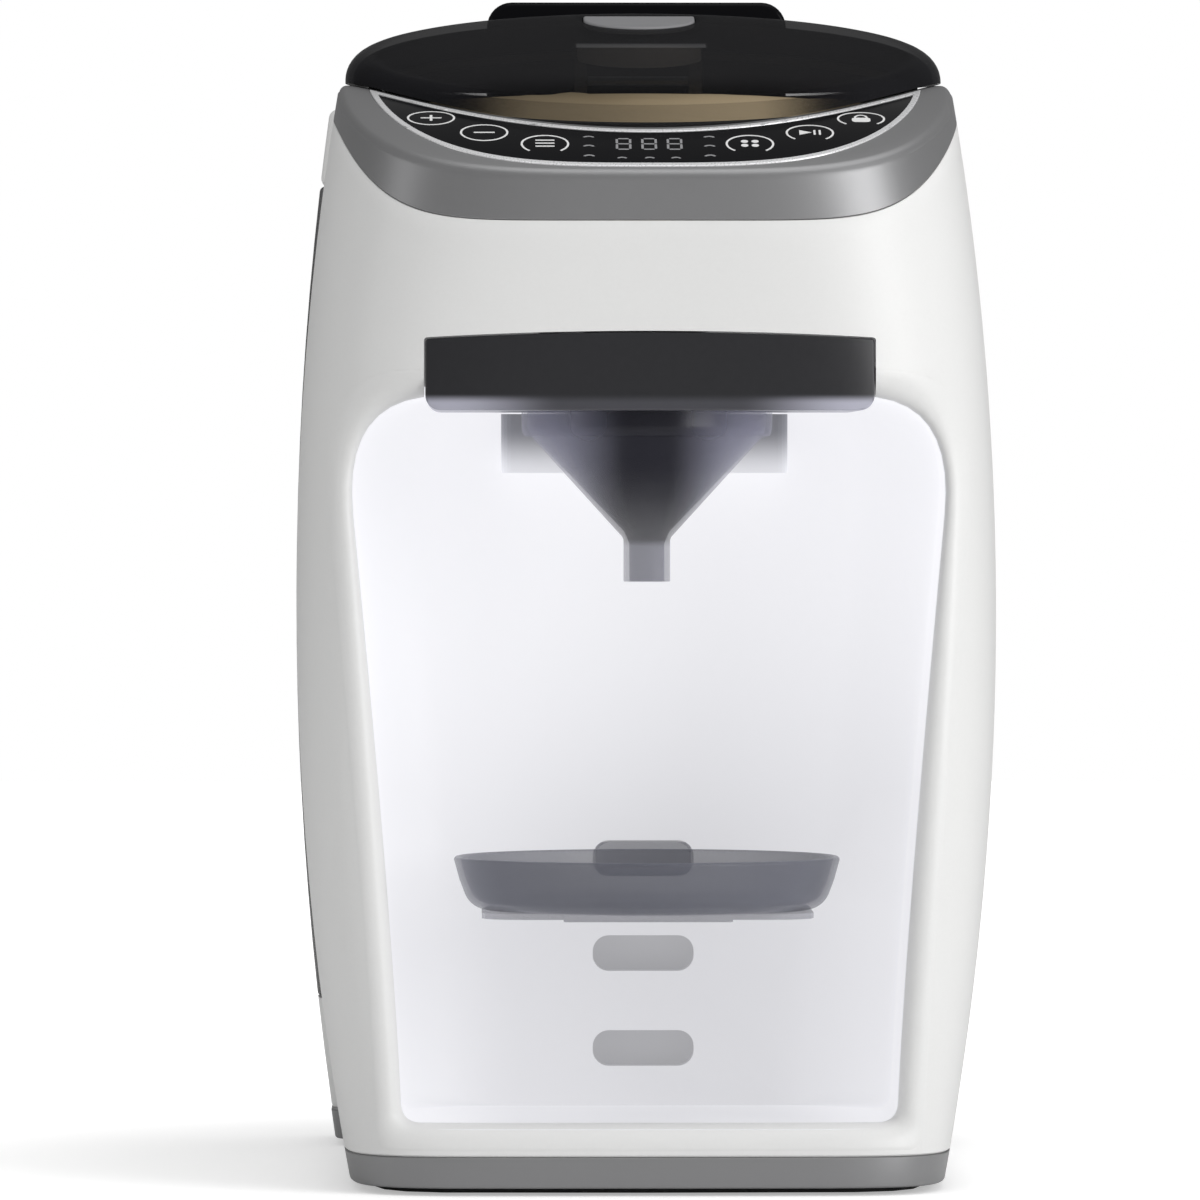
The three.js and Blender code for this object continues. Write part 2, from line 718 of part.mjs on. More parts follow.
function waterParts() {
  const rearY = bay.backY - seatGap;
  const plan = (inset, rear) => roundedRect(
    -shroud.half + inset, shroud.half - inset, shroud.frontY + inset, rear, shroud.radius, seatGap,
  );
  const shell = cut(
    prismZ(plan(0, rearY), shroud.bottomZ, shroud.topZ),
    prismZ(plan(shroud.wall, rearY + overrun), shroud.bottomZ - overrun, shroud.topZ + overrun),
  );
  addPiece('water_shroud', shell, 'glow', 'satin');
  const lightZ = shroud.bottomZ + lightBar.rise;
  const lightPlan = plan(shroud.wall + seatGap, rearY);
  addPiece('bay_light', prismZ(lightPlan, lightZ, lightZ + lightBar.thick), 'glow', 'satin');

  const valveTop = deck.bottomZ - seatGap;
  const [left, right] = [nozzle.x - valve.half, nozzle.x + valve.half];
  const block = roundedRect(left, right, valve.bottomZ, valveTop, valve.round);
  addPiece('water_valve', prismY(block, valve.frontY, valve.rearY, 2), 'steel', 'metal');
  const pipe = prismY(circle(nozzle.radius, nozzle.x, nozzle.z), nozzle.tipY, valve.frontY - seatGap, 4);
  const boreShape = circle(nozzle.radius / 2, nozzle.x, nozzle.z);
  const bore = prismY(boreShape, nozzle.tipY - overrun, valve.frontY - overrun, 3);
  addPiece('water_nozzle', cut(pipe, bore), 'steel', 'metal');
}

function drawerParts() {
  const block = prismY(drawerShape(0), frontY - overrun, drawer.rearY).intersect(bodyForm(0));
  const hollowShape = roundedRect(
    -drawer.half + drawer.wall, drawer.half - drawer.wall,
    drawer.bottomZ + drawer.wall, drawer.topZ + overrun, drawer.upperRadius,
  );
  const inside = prismY(hollowShape, frontY - overrun, drawer.rearY - drawer.wall);
  const hollow = inside.intersect(bodyForm(drawer.frontWall));
  const seatRadius = funnel.shoulderRadius + seatGap;
  const seat = rod(seatRadius, drawer.bottomZ - overrun, drawer.topZ, 40).translate(0, funnel.centreY, 0);
  const notch = box(
    nozzle.x - nozzle.radius - runGap, nozzle.x + nozzle.radius + runGap,
    drawer.rearY - overrun, drawer.rearY + overrun,
    nozzle.z - nozzle.radius - runGap, drawer.topZ + overrun,
  );
  addPiece('funnel_drawer', cut(block, hollow, seat, notch), 'smoke', 'gloss');

  const flangeZ = drawer.bottomZ + drawer.wall + seatGap;
  const top = flangeZ + funnel.flangeThick;
  const shoulderZ = drawer.bottomZ - funnel.shoulderDrop;
  const bendZ = shoulderZ - funnel.bendDrop;
  const neckZ = bendZ - funnel.neckDrop;
  const throatZ = neckZ - funnel.throatDrop;
  const bendRadius = funnel.shoulderRadius - funnel.bendInset;
  const profile = [
    [funnel.spoutRadius, throatZ - funnel.spoutLength],
    [funnel.spoutRadius, throatZ],
    [funnel.neckRadius, neckZ],
    [bendRadius, bendZ],
    [funnel.shoulderRadius, shoulderZ],
    [funnel.shoulderRadius, flangeZ],
    [funnel.flangeRadius, flangeZ],
    [funnel.flangeRadius, top],
    [funnel.shoulderRadius - funnel.wall, top],
    [funnel.shoulderRadius - funnel.wall, shoulderZ + funnel.wall],
    [bendRadius - funnel.wall, bendZ + funnel.wall / 2],
    [funnel.neckRadius - funnel.wall / 2, neckZ + funnel.wall],
    [funnel.spoutRadius - funnel.wall, throatZ],
    [funnel.spoutRadius - funnel.wall, throatZ - funnel.spoutLength],
  ];
  addPiece('funnel_cone', turned(profile, 22), 'smoke', 'gloss', [0, funnel.centreY, 0]);
}

// Shallow tray and the bracket that hooks it into a pocket of the liner
function trayParts() {
  const profile = [
    [0, tray.floorZ],
    [tray.rimRadius - tray.floorInset, tray.floorZ],
    [tray.rimRadius - tray.lowInset, tray.floorZ + tray.lowRise],
    [tray.rimRadius - tray.midInset, tray.floorZ + tray.midRise],
    [tray.rimRadius, tray.rimZ],
    [tray.rimRadius - tray.wall, tray.rimZ],
    [tray.rimRadius - tray.midInset - tray.wall, tray.floorZ + tray.midRise],
    [tray.rimRadius - tray.footInset, tray.floorZ + tray.wall],
    [0, tray.floorZ + tray.wall],
  ];
  addPiece('bottle_tray', turned(profile, 28), 'smoke', 'gloss', [0, funnel.centreY, 0]);

  const top = tray.floorZ - seatGap;
  const low = top - bracket.thick;
  const wallY = bay.backY - seatGap;
  const tongueHalf = pocket.halfHeight - bracket.tongueClear;
  const plate = prismZ(
    roundedRect(-bracket.half, bracket.half, bracket.frontY, bracket.rearY, bracket.corner), low, top,
  );
  const centre = prismZ(
    roundedRect(-bracket.centreHalf, bracket.centreHalf, bracket.frontY, bracket.rearY, bracket.thick),
    low - bracket.centreDrop, top, 1,
  );
  const armStartY = bracket.rearY - overrun;
  const armShape = roundedRect(-bracket.armHalf, bracket.armHalf, armStartY, wallY, bracket.armRound);
  const arm = prismZ(armShape, low, top, 1);
  const tongueTop = pocket.highestZ + tongueHalf;
  const upright = box(-bracket.armHalf, bracket.armHalf, wallY - bracket.upright, wallY, low, tongueTop);
  const tongueShape = roundedRect(
    -bracket.armHalf, bracket.armHalf,
    pocket.highestZ - tongueHalf, tongueTop,
    pocket.radius - bracket.tongueClear,
  );
  const tongue = prismY(tongueShape, wallY - bracket.upright, wallY + bracket.tongue);
  addPiece('tray_bracket', join(plate, centre, arm, upright, tongue), 'smoke', 'gloss');
}

// Powder container, standing on the deck, with its rim cut on a slope
function slopedAbove(heightAtCentre) {
  const near = body.centreY - body.frontDepth;
  const far = tank.rearY;
  const z = (y) => heightAtCentre + tiltShare * (y - body.centreY);
  const top = z(far) + body.topZ;
  const shape = polygon([[near, z(near)], [far, z(far)], [far, top], [near, top]]);
  return prismX(shape, -farHalf, farHalf);
}

function containerParts() {
  const floorTop = container.floorZ + container.floorThick;
  const rimTop = container.rimZ + tiltShare * container.radius;
  const slab = box(-farHalf, farHalf, frontY - overrun, farRearY, deck.bottomZ, deck.topZ);
  const plate = cut(
    bodyForm(body.wall + seatGap, overrun).intersect(slab),
    rod(deck.outletRadius, deck.bottomZ - overrun, deck.topZ + overrun).translate(0, outletY, 0),
    rod(dog.shaft + runGap, deck.bottomZ - overrun, deck.topZ + overrun).translate(0, body.centreY, 0),
  );
  addPiece('hopper_deck', plate, 'white', 'satin');

  const inner = container.radius - container.wall;
  const ring = container.ringRadius;
  const profile = [
    [hub.radius + runGap, container.floorZ],
    [ring - container.ringWall, container.floorZ],
    [ring - container.ringWall, deck.topZ + seatGap],
    [ring, deck.topZ + seatGap],
    [ring, container.floorZ],
    [container.radius, container.floorZ],
    [container.radius, rimTop + overrun],
    [inner, rimTop + overrun],
    [inner, floorTop],
    [hub.radius + runGap, floorTop],
  ];
  const outlet = rod(container.outletRadius, container.floorZ - overrun, floorTop + overrun);
  const cup = cut(
    turned(profile, 28).translate(0, body.centreY, 0),
    slopedAbove(container.rimZ),
    outlet.translate(0, outletY, 0),
  );
  const wallY = body.centreY + inner;
  const arm = box(
    -lidHinge.earHalf, lidHinge.earHalf,
    wallY, lidHinge.y,
    lidHinge.z - lidHinge.knuckleRadius, lidHinge.z + lidHinge.knuckleRadius,
  );
  const barrelShape = circle(lidHinge.knuckleRadius, lidHinge.y, lidHinge.z);
  const barrel = prismX(barrelShape, -lidHinge.earHalf, lidHinge.earHalf, 5);
  const pinHole = prismX(circle(lidHinge.pinRadius + seatGap, lidHinge.y, lidHinge.z), -farHalf, farHalf, 4);
  addPiece('powder_container', cut(join(cup, arm, barrel), pinHole), 'smoke', 'gloss');

  const coverInner = outletOrbit - cover.inset;
  const sector = new THREE.Shape();
  const half = THREE.MathUtils.degToRad(coverHalfDegrees);
  sector.absarc(0, 0, inner - runGap, -Math.PI / 2 - half, -Math.PI / 2 + half);
  sector.absarc(0, 0, coverInner, -Math.PI / 2 + half, -Math.PI / 2 - half, true);
  const coverTop = cover.bottomZ + cover.thick;
  const lidPlate = prismZ(sector, cover.bottomZ, coverTop, 10).translate(0, body.centreY, 0);
  addPiece('dosing_cover', lidPlate, 'smoke', 'satin');
}

function agitatorParts() {
  const pockets = Array.from({ length: wheelPocketCount }, (_, i) => (
    rod(wheel.pocketRadius, wheel.bottomZ - overrun, wheel.topZ + overrun, 8)
      .translate(0, -outletOrbit, 0)
      .rotate([0, 0, (360 * i) / wheelPocketCount])
  ));
  const disc = cut(rod(wheel.radius, wheel.bottomZ, wheel.topZ, 28), ...pockets);
  const core = turned([
    [0, container.floorZ],
    [hub.radius, container.floorZ],
    [hub.radius, stir.bottomZ - seatGap],
    [hub.peg, stir.bottomZ - seatGap],
    [hub.peg, hub.pegTopZ],
    [0, hub.pegTopZ],
  ], 14);
  const socket = rod(dog.radius + seatGap * 2, container.floorZ - overrun, dog.topZ + seatGap * 2, 6);
  const place = [0, body.centreY, 0];
  addPiece('dosing_wheel', cut(join(disc, core), socket), 'white', 'satin', place);

  let paddles = rod(stir.hubRadius, stir.bottomZ, hub.pegTopZ - seatGap, 20);
  const armHalf = stir.armWidth / 2;
  const arm = roundedRect(-armHalf, armHalf, 0, stir.radius, stir.armRound, stir.tipRound);
  for (let i = 0; i < stirArmCount; i++) {
    const blade = prismZ(arm, stir.bottomZ, stir.topZ, 2).rotate([0, 0, (360 * i) / stirArmCount]);
    paddles = join(paddles, blade);
  }
  const bore = rod(hub.peg + seatGap, stir.bottomZ - overrun, hub.pegTopZ + overrun, 16);
  addPiece('stir_wheel', cut(paddles, bore), 'white', 'satin', place);
}

// Toothed wheel outline: four corners to a tooth
function toothed(teeth, bore) {
  const pitch = (teeth * gear.module) / 2;
  const step = (2 * Math.PI) / teeth;
  const cornerTable = [
    [-toothShares.root, pitch - gear.root],
    [-toothShares.tip, pitch + gear.tip],
    [toothShares.tip, pitch + gear.tip],
    [toothShares.root, pitch - gear.root],
  ];
  const points = [];
  for (let i = 0; i < teeth; i++) {
    cornerTable.forEach(([share, radius]) => {
      const angle = step * (i + share);
      points.push([radius * Math.cos(angle), radius * Math.sin(angle)]);
    });
  }
  const shape = polygon(points);
  shape.holes.push(circle(bore));
  return shape;
}

function driveParts() {
  const centres = gearPitch + pinionPitch + meshGap;
  const place = [0, body.centreY, 0];
  const collar = tubeRing(gear.bore, gear.shaft, gearbox.floorZ, gear.topZ, 20);
  const drive = join(prismZ(toothed(gearToothCount, gear.bore), gear.bottomZ, gear.topZ, 5), collar);
  addPiece('drive_gear', drive, 'white', 'satin', place);

  const shaftHole = motor.shaft + seatGap;
  const small = prismZ(toothed(pinionToothCount, shaftHole), gear.bottomZ, gear.topZ, 4);
  const pinionMesh = addPiece('motor_pinion', small, 'steel', 'metal', [0, body.centreY + centres, 0]);
  pinionMesh.rotation.z = Math.PI / pinionToothCount;

  const outline = (radius, reach) => {
    const shape = new THREE.Shape();
    const side = Math.PI / 2 - Math.acos((radius - reach) / centres);
    shape.absarc(0, 0, radius, Math.PI - side, 2 * Math.PI + side);
    shape.absarc(0, centres, reach, side, Math.PI - side);
    return shape;
  };
  const inner = gearPitch + gear.module + gearbox.tipGap;
  const innerSmall = pinionPitch + gear.module + gearbox.tipGap;
  const top = deck.bottomZ - seatGap;
  const cup = cut(
    prismZ(outline(inner + gearbox.wall, innerSmall + gearbox.wall), gearbox.floorZ, top, 5),
    prismZ(outline(inner, innerSmall), gearbox.floorZ + gearbox.wall, top + overrun, 5),
    rod(gear.shaft + seatGap, gearbox.floorZ - overrun, top, 20),
    rod(motor.capRadius, gearbox.floorZ - overrun, top, 20).translate(0, centres, 0),
  );
  addPiece('gearbox_housing', cup, 'grey', 'satin', place);

  const coupling = join(
    rod(dog.stub, gear.bottomZ, gear.topZ + seatGap * 2, 12),
    rod(dog.shaft, gear.topZ + seatGap, dog.bottomZ, 16),
    rod(dog.radius, dog.bottomZ, dog.topZ, 6),
  );
  addPiece('drive_coupling', coupling, 'grey', 'satin', place);

  const can = turned([
    [0, motor.bottomZ],
    [motor.capRadius, motor.bottomZ],
    [motor.capRadius, motor.bottomZ + gearbox.wall],
    [motor.radius, motor.bottomZ + gearbox.wall],
    [motor.radius, motor.topZ],
    [motor.shaft, motor.topZ],
    [motor.shaft, gear.topZ],
    [0, gear.topZ],
  ], 16);
  addPiece('drive_motor', can, 'steel', 'metal', [0, body.centreY + centres, 0]);
}

// Lid: a round dome with a sloping top, a ring for its seal and a well for the button
function lidForm(inset, bottom) {
  const radius = lid.radius - inset;
  const ring = (r, height) => {
    const points = [];
    for (let i = 0; i < lidRingCount; i++) {
      const angle = (2 * Math.PI * i) / lidRingCount;
      const y = body.centreY + r * Math.sin(angle);
      points.push([r * Math.cos(angle), y, height(y)]);
    }
    return points;
  };
  const top = (y) => lid.topZ - inset + tiltShare * (y - body.centreY);
  const round = lid.round - inset;
  const arcs = levels(0, Math.PI / 2, inset ? 1 : 3).map((turn) => (
    ring(radius - round * (1 - Math.cos(turn)), (y) => top(y) - round * (1 - Math.sin(turn)))
  ));
  return loft([ring(radius, () => bottom), ...arcs]);
}

function buttonShape(outset) {
  const radius = button.half + outset;
  const shape = new THREE.Shape();
  shape.moveTo(radius, button.rearY + outset);
  shape.lineTo(-radius, button.rearY + outset);
  shape.absarc(0, button.frontY + button.half, radius, Math.PI, 2 * Math.PI);
  return shape;
}

function sloped(shape, centreLow, centreHigh, steps = 4) {
  return cut(tall(shape, steps), slopedAbove(centreHigh)).intersect(slopedAbove(centreLow));
}

function lidParts() {
  const lowZ = band.edgeZ;
  const shell = cut(lidForm(0, lowZ), lidForm(lid.wall, lowZ - overrun), belowDeck(-lid.deckGap));
  const sealTop = container.rimZ + seatGap + lidSeal.thick;
  const ringPlan = circle(lid.ringRadius, 0, body.centreY);
  ringPlan.holes.push(circle(lid.ringRadius - lid.ringWall, 0, body.centreY));
  const insideTop = lid.topZ - lid.wall / 2;
  const ring = sloped(ringPlan, sealTop + seatGap, insideTop, 10);
  const wellBlock = sloped(buttonShape(seatGap + well.wall), lid.topZ - well.depth, insideTop);
  const wellCut = sloped(buttonShape(seatGap), lid.topZ - well.depth + well.floor, lid.topZ + overrun);
  const side = lidHinge.earHalf + seatGap;
  const outside = side + lidHinge.knuckleWidth;
  const notchY = body.centreY + lid.radius - lidHinge.notchDepth;
  const notch = box(-side, side, notchY, lidHinge.y + overrun, band.deckZ, lidHinge.notchZ);
  const knuckles = [-1, 1].map((end) => {
    const x0 = Math.min(end * side, end * outside);
    const x1 = Math.max(end * side, end * outside);
    const root = box(x0, x1, lidHinge.y - lidHinge.knuckleRadius * 2, lidHinge.y,
      lidHinge.z - lidHinge.knuckleRadius, lidHinge.z + lidHinge.knuckleRadius);
    return join(root, prismX(circle(lidHinge.knuckleRadius, lidHinge.y, lidHinge.z), x0, x1, 5));
  });
  const pinHole = prismX(circle(lidHinge.pinRadius + seatGap, lidHinge.y, lidHinge.z), -farHalf, farHalf, 4);
  const dome = cut(join(shell, ring, wellBlock, ...knuckles), wellCut, notch, pinHole);
  addPiece('lid_dome', dome, 'smoke', 'gloss');

  const pin = prismX(circle(lidHinge.pinRadius, lidHinge.y, lidHinge.z), -outside, outside, 4);
  addPiece('lid_hinge_pin', pin, 'steel', 'metal');
  const sealPlan = circle(container.radius - lidSeal.outerInset, 0, body.centreY);
  sealPlan.holes.push(circle(container.radius - lidSeal.innerInset, 0, body.centreY));
  addPiece('lid_seal', sloped(sealPlan, container.rimZ + seatGap, sealTop, 10), 'rubber', 'soft');

  const capLow = lid.topZ + button.proud - button.thick;
  const cap = sloped(buttonShape(0), capLow, lid.topZ + button.proud);
  const stem = cut(
    sloped(buttonShape(-button.stemInset), capLow - button.stem, capLow + button.thick / 2),
    sloped(buttonShape(-button.stemInset - button.stemWall), capLow - button.stem - overrun, capLow),
  );
  addPiece('lid_button', join(cap, stem), 'smoke', 'satin');

  const springY = (button.frontY + button.rearY) / 2;
  const rise = tiltShare * (springY - body.centreY);
  const slopeSpan = tiltShare * spring.radius;
  const low = lid.topZ + rise - well.depth + well.floor + seatGap + spring.wire + slopeSpan;
  const high = capLow + rise - seatGap - spring.wire - slopeSpan;
  const coil = levels(0, springTurnCount, springTurnCount * 6).map((turn) => {
    const angle = 2 * Math.PI * turn;
    const z = low + ((high - low) * turn) / springTurnCount;
    return [spring.radius * Math.cos(angle), springY + spring.radius * Math.sin(angle), z];
  });
  addPiece('button_spring', tube(coil, spring.wire, springTurnCount * 8, 2), 'steel', 'metal');
}

// Water tank with its own bow, set behind the housing
const tankMiddleY = (tank.frontY + tank.rearY) / 2;
const tankHalfDepth = (tank.rearY - tank.frontY) / 2;
const tankHalf = (z) => bowed(tank.widestHalf, tank.widestZ, tank.sideRadius, z);

function tankRing(z, inset, front = tank.frontY) {
  const middle = (front + tank.rearY) / 2;
  const depth = (tank.rearY - front) / 2 - inset;
  return planRing(tankHalf(z) - inset, depth, depth, tankCornerShares, middle, z, tankRingCount);
}

const tankForm = (z0, z1, inset, count = 3) => loft(levels(z0, z1, count).map((z) => tankRing(z, inset)));

function tankParts() {
  const floor = tank.shelfTopZ + seatGap;
  const shell = cut(
    tankForm(floor, tank.topZ, 0, 5),
    tankForm(floor + tank.wall, tank.topZ + overrun, tank.wall, 4),
  );
  const neck = rod(spout.radius, spout.bottomZ, floor + tank.wall, 24).translate(0, tankMiddleY, 0);
  const neckBore = rod(spout.radius - spout.wall, spout.bottomZ - overrun, floor + tank.wall + overrun, 24)
    .translate(0, tankMiddleY, 0);
  const hingeY = tank.rearY + tankHinge.knuckleRadius - tankHinge.drop;
  const hingeZ = tank.topZ + seatGap / 2;
  const lug = (x0, x1, up) => join(
    prismX(circle(tankHinge.knuckleRadius, hingeY, hingeZ), x0, x1, 5),
    box(x0, x1, tank.rearY - tank.wall, hingeY, up > 0 ? hingeZ + seatGap : hingeZ - tankHinge.knuckleRadius,
      up > 0 ? hingeZ + tankHinge.knuckleRadius : hingeZ - seatGap),
  );
  const pinHole = prismX(circle(tankHinge.pinRadius + seatGap, hingeY, hingeZ), -farHalf, farHalf, 4);
  const spans = [-1, 1].map((side) => {
    const inner = side * tankHinge.earX;
    const middle = inner + side * tankHinge.earWidth;
    const outer = middle + side * (tankHinge.earWidth + seatGap);
    const ordered = (a, b) => [Math.min(a, b), Math.max(a, b)];
    return { ears: ordered(inner, middle), knuckles: ordered(middle + side * seatGap, outer) };
  });
  const ears = spans.map(({ ears: [x0, x1] }) => lug(x0, x1, -1));
  addPiece('tank_body', cut(join(shell, neck, ...ears), neckBore, pinHole), 'smoke', 'gloss');

  const lidZ = tank.topZ + seatGap;
  const cap = cut(
    tankForm(lidZ, tank.lidTopZ, 0, 1),
    tankForm(lidZ - overrun, tank.lidTopZ - tank.wall, tank.wall, 1),
  );
  const knuckles = spans.map(({ knuckles: [x0, x1] }) => lug(x0, x1, 1));
  const earClear = spans.map(({ ears: [x0, x1] }) => prismX(
    circle(tankHinge.knuckleRadius + seatGap, hingeY, hingeZ), x0 - seatGap, x1 + seatGap, 5,
  ));
  addPiece('tank_lid', cut(join(cap, ...knuckles), pinHole, ...earClear), 'white', 'satin');
  const pinEnd = tankHinge.earX + tankHinge.earWidth * 2 + seatGap;
  spans.forEach((_, i) => {
    const side = i * 2 - 1;
    const ends = [side * tankHinge.earX, side * pinEnd].sort((a, b) => a - b);
    addPiece(i ? 'tank_lid_pin_right' : 'tank_lid_pin_left',
      prismX(circle(tankHinge.pinRadius, hingeY, hingeZ), ...ends, 4), 'steel', 'metal');
  });

  const gasket = cut(
    tankForm(lidZ - seatGap * 2 - tank.wall, lidZ + tank.wall, tank.wall + seatGap, 1),
    tankForm(lidZ - overrun, lidZ + overrun, tank.wall * 2, 1),
  );
  addPiece('tank_lid_seal', gasket, 'rubber', 'soft');

  const archLow = tank.lidTopZ + seatGap;
  const arch = roundedRect(-handle.half, handle.half, archLow, handle.topZ, seatGap, handle.radius);
  const fingerHalf = handle.half - handle.leg;
  const fingerTop = handle.topZ - handle.bar;
  const fingerLow = tank.lidTopZ - overrun;
  const fingers = roundedRect(-fingerHalf, fingerHalf, fingerLow, fingerTop, seatGap, handle.innerRadius);
  const fingerHole = prismY(fingers, handle.frontY - overrun, handle.rearY + overrun);
  addPiece('tank_handle', cut(prismY(arch, handle.frontY, handle.rearY), fingerHole), 'black', 'gloss');

  const strainerZ = floor + tank.wall + seatGap;
  const basket = turned([
    [0, strainerZ],
    [spout.radius + strainer.rim, strainerZ],
    [spout.radius, strainerZ - seatGap + strainer.height],
    [0, strainerZ - seatGap + strainer.height],
  ], 20);
  addPiece('tank_filter', basket, 'white', 'satin', [0, tankMiddleY, 0]);
}

function shelfParts() {
  const frontOfShelf = bodyRearY + seatGap;
  const ring = (z, inset) => tankRing(z, inset, frontOfShelf);
  const hollowTop = tank.shelfTopZ - body.wall;
  const form = cut(
    loft(levels(body.bottomZ, tank.shelfTopZ, 2).map((z) => ring(z, 0))),
    loft(levels(body.bottomZ - overrun, hollowTop, 2).map((z) => ring(z, body.wall))),
    rod(grommet.radius + seatGap, hollowTop - overrun, tank.shelfTopZ + overrun).translate(0, tankMiddleY, 0),
    box(
      -passage.half, passage.half,
      bodyRearY - overrun, frontOfShelf + overrun,
      passage.bottomZ, passage.topZ,
    ),
    box(inlet.x - inlet.half - seatGap, inlet.x + inlet.half + seatGap, tankMiddleY, tank.rearY + overrun,
      inlet.z - inlet.halfHeight - seatGap, inlet.z + inlet.halfHeight + seatGap),
    box(rocker.x - rocker.half - runGap, rocker.x + rocker.half + runGap, tankMiddleY, tank.rearY + overrun,
      inlet.z - rocker.halfHeight - runGap, inlet.z + rocker.halfHeight + runGap),
  );
  addPiece('tank_shelf', form, 'white', 'satin');
  const sealLow = tank.shelfTopZ - grommet.height;
  const seal = tubeRing(spout.radius + seatGap, grommet.radius, sealLow, tank.shelfTopZ);
  addPiece('tank_grommet', seal, 'rubber', 'soft', [0, tankMiddleY, 0]);

  const face = tank.rearY - seatGap;
  const socketPlan = (inset) => roundedRect(
    inlet.x - inlet.half + inset, inlet.x + inlet.half - inset,
    inlet.z - inlet.halfHeight + inset, inlet.z + inlet.halfHeight - inset, inlet.wall,
  );
  const pinTable = [-1, 0, 1].map((i) => prismY(
    roundedRect(
      inlet.x + i * inlet.pinPitch - inlet.pinHalf, inlet.x + i * inlet.pinPitch + inlet.pinHalf,
      inlet.z - inlet.pinHalf * 2, inlet.z + inlet.pinHalf * 2, inlet.pinHalf / 2,
    ), face - inlet.depth, face - inlet.depth + inlet.wall + inlet.pinLength, 1,
  ));
  const socket = cut(
    prismY(socketPlan(0), face - inlet.depth, face),
    prismY(socketPlan(inlet.wall), face - inlet.depth + inlet.wall, face + overrun),
  );
  addPiece('power_inlet', join(socket, ...pinTable), 'black', 'satin');

  const low = inlet.z - rocker.halfHeight;
  const high = inlet.z + rocker.halfHeight;
  const side = polygon([
    [face - rocker.depth, low],
    [face, low],
    [face - rocker.dish, inlet.z],
    [face, high],
    [face - rocker.depth, high],
  ]);
  addPiece('power_rocker', prismX(side, rocker.x - rocker.half, rocker.x + rocker.half), 'black', 'satin');
}

function baseParts() {
  const form = (z0, z1, inset) => join(
    loft([z0, z1].map((z) => bodyRing(z, inset))),
    loft([z0, z1].map((z) => tankRing(z, inset, base.frontOfRear))),
  );
  const top = body.bottomZ - seatGap;
  const floorTop = base.bottomZ + base.floor;
  const inside = form(floorTop, top + overrun, base.wall);
  addPiece('base_pan', cut(form(base.bottomZ, top, 0), inside), 'grey', 'satin');
  const places = [
    ['foot_front_left', -foot.frontX, foot.frontY],
    ['foot_front_right', foot.frontX, foot.frontY],
    ['foot_rear_left', -foot.rearX, foot.rearY],
    ['foot_rear_right', foot.rearX, foot.rearY],
  ];
  const footTop = base.bottomZ - seatGap;
  let plate = form(plinth.bottomZ, plinth.bottomZ + plinth.thick, plinth.inset);
  places.forEach(([name, x, y]) => {
    plate = cut(plate, rod(foot.radius + seatGap, -overrun, overrun, 16).translate(x, y, 0));
    addPiece(name, rod(foot.radius, 0, footTop, 16), 'rubber', 'soft', [x, y, 0]);
  });
  addPiece('base_plinth', plate, 'rubber', 'soft');
}

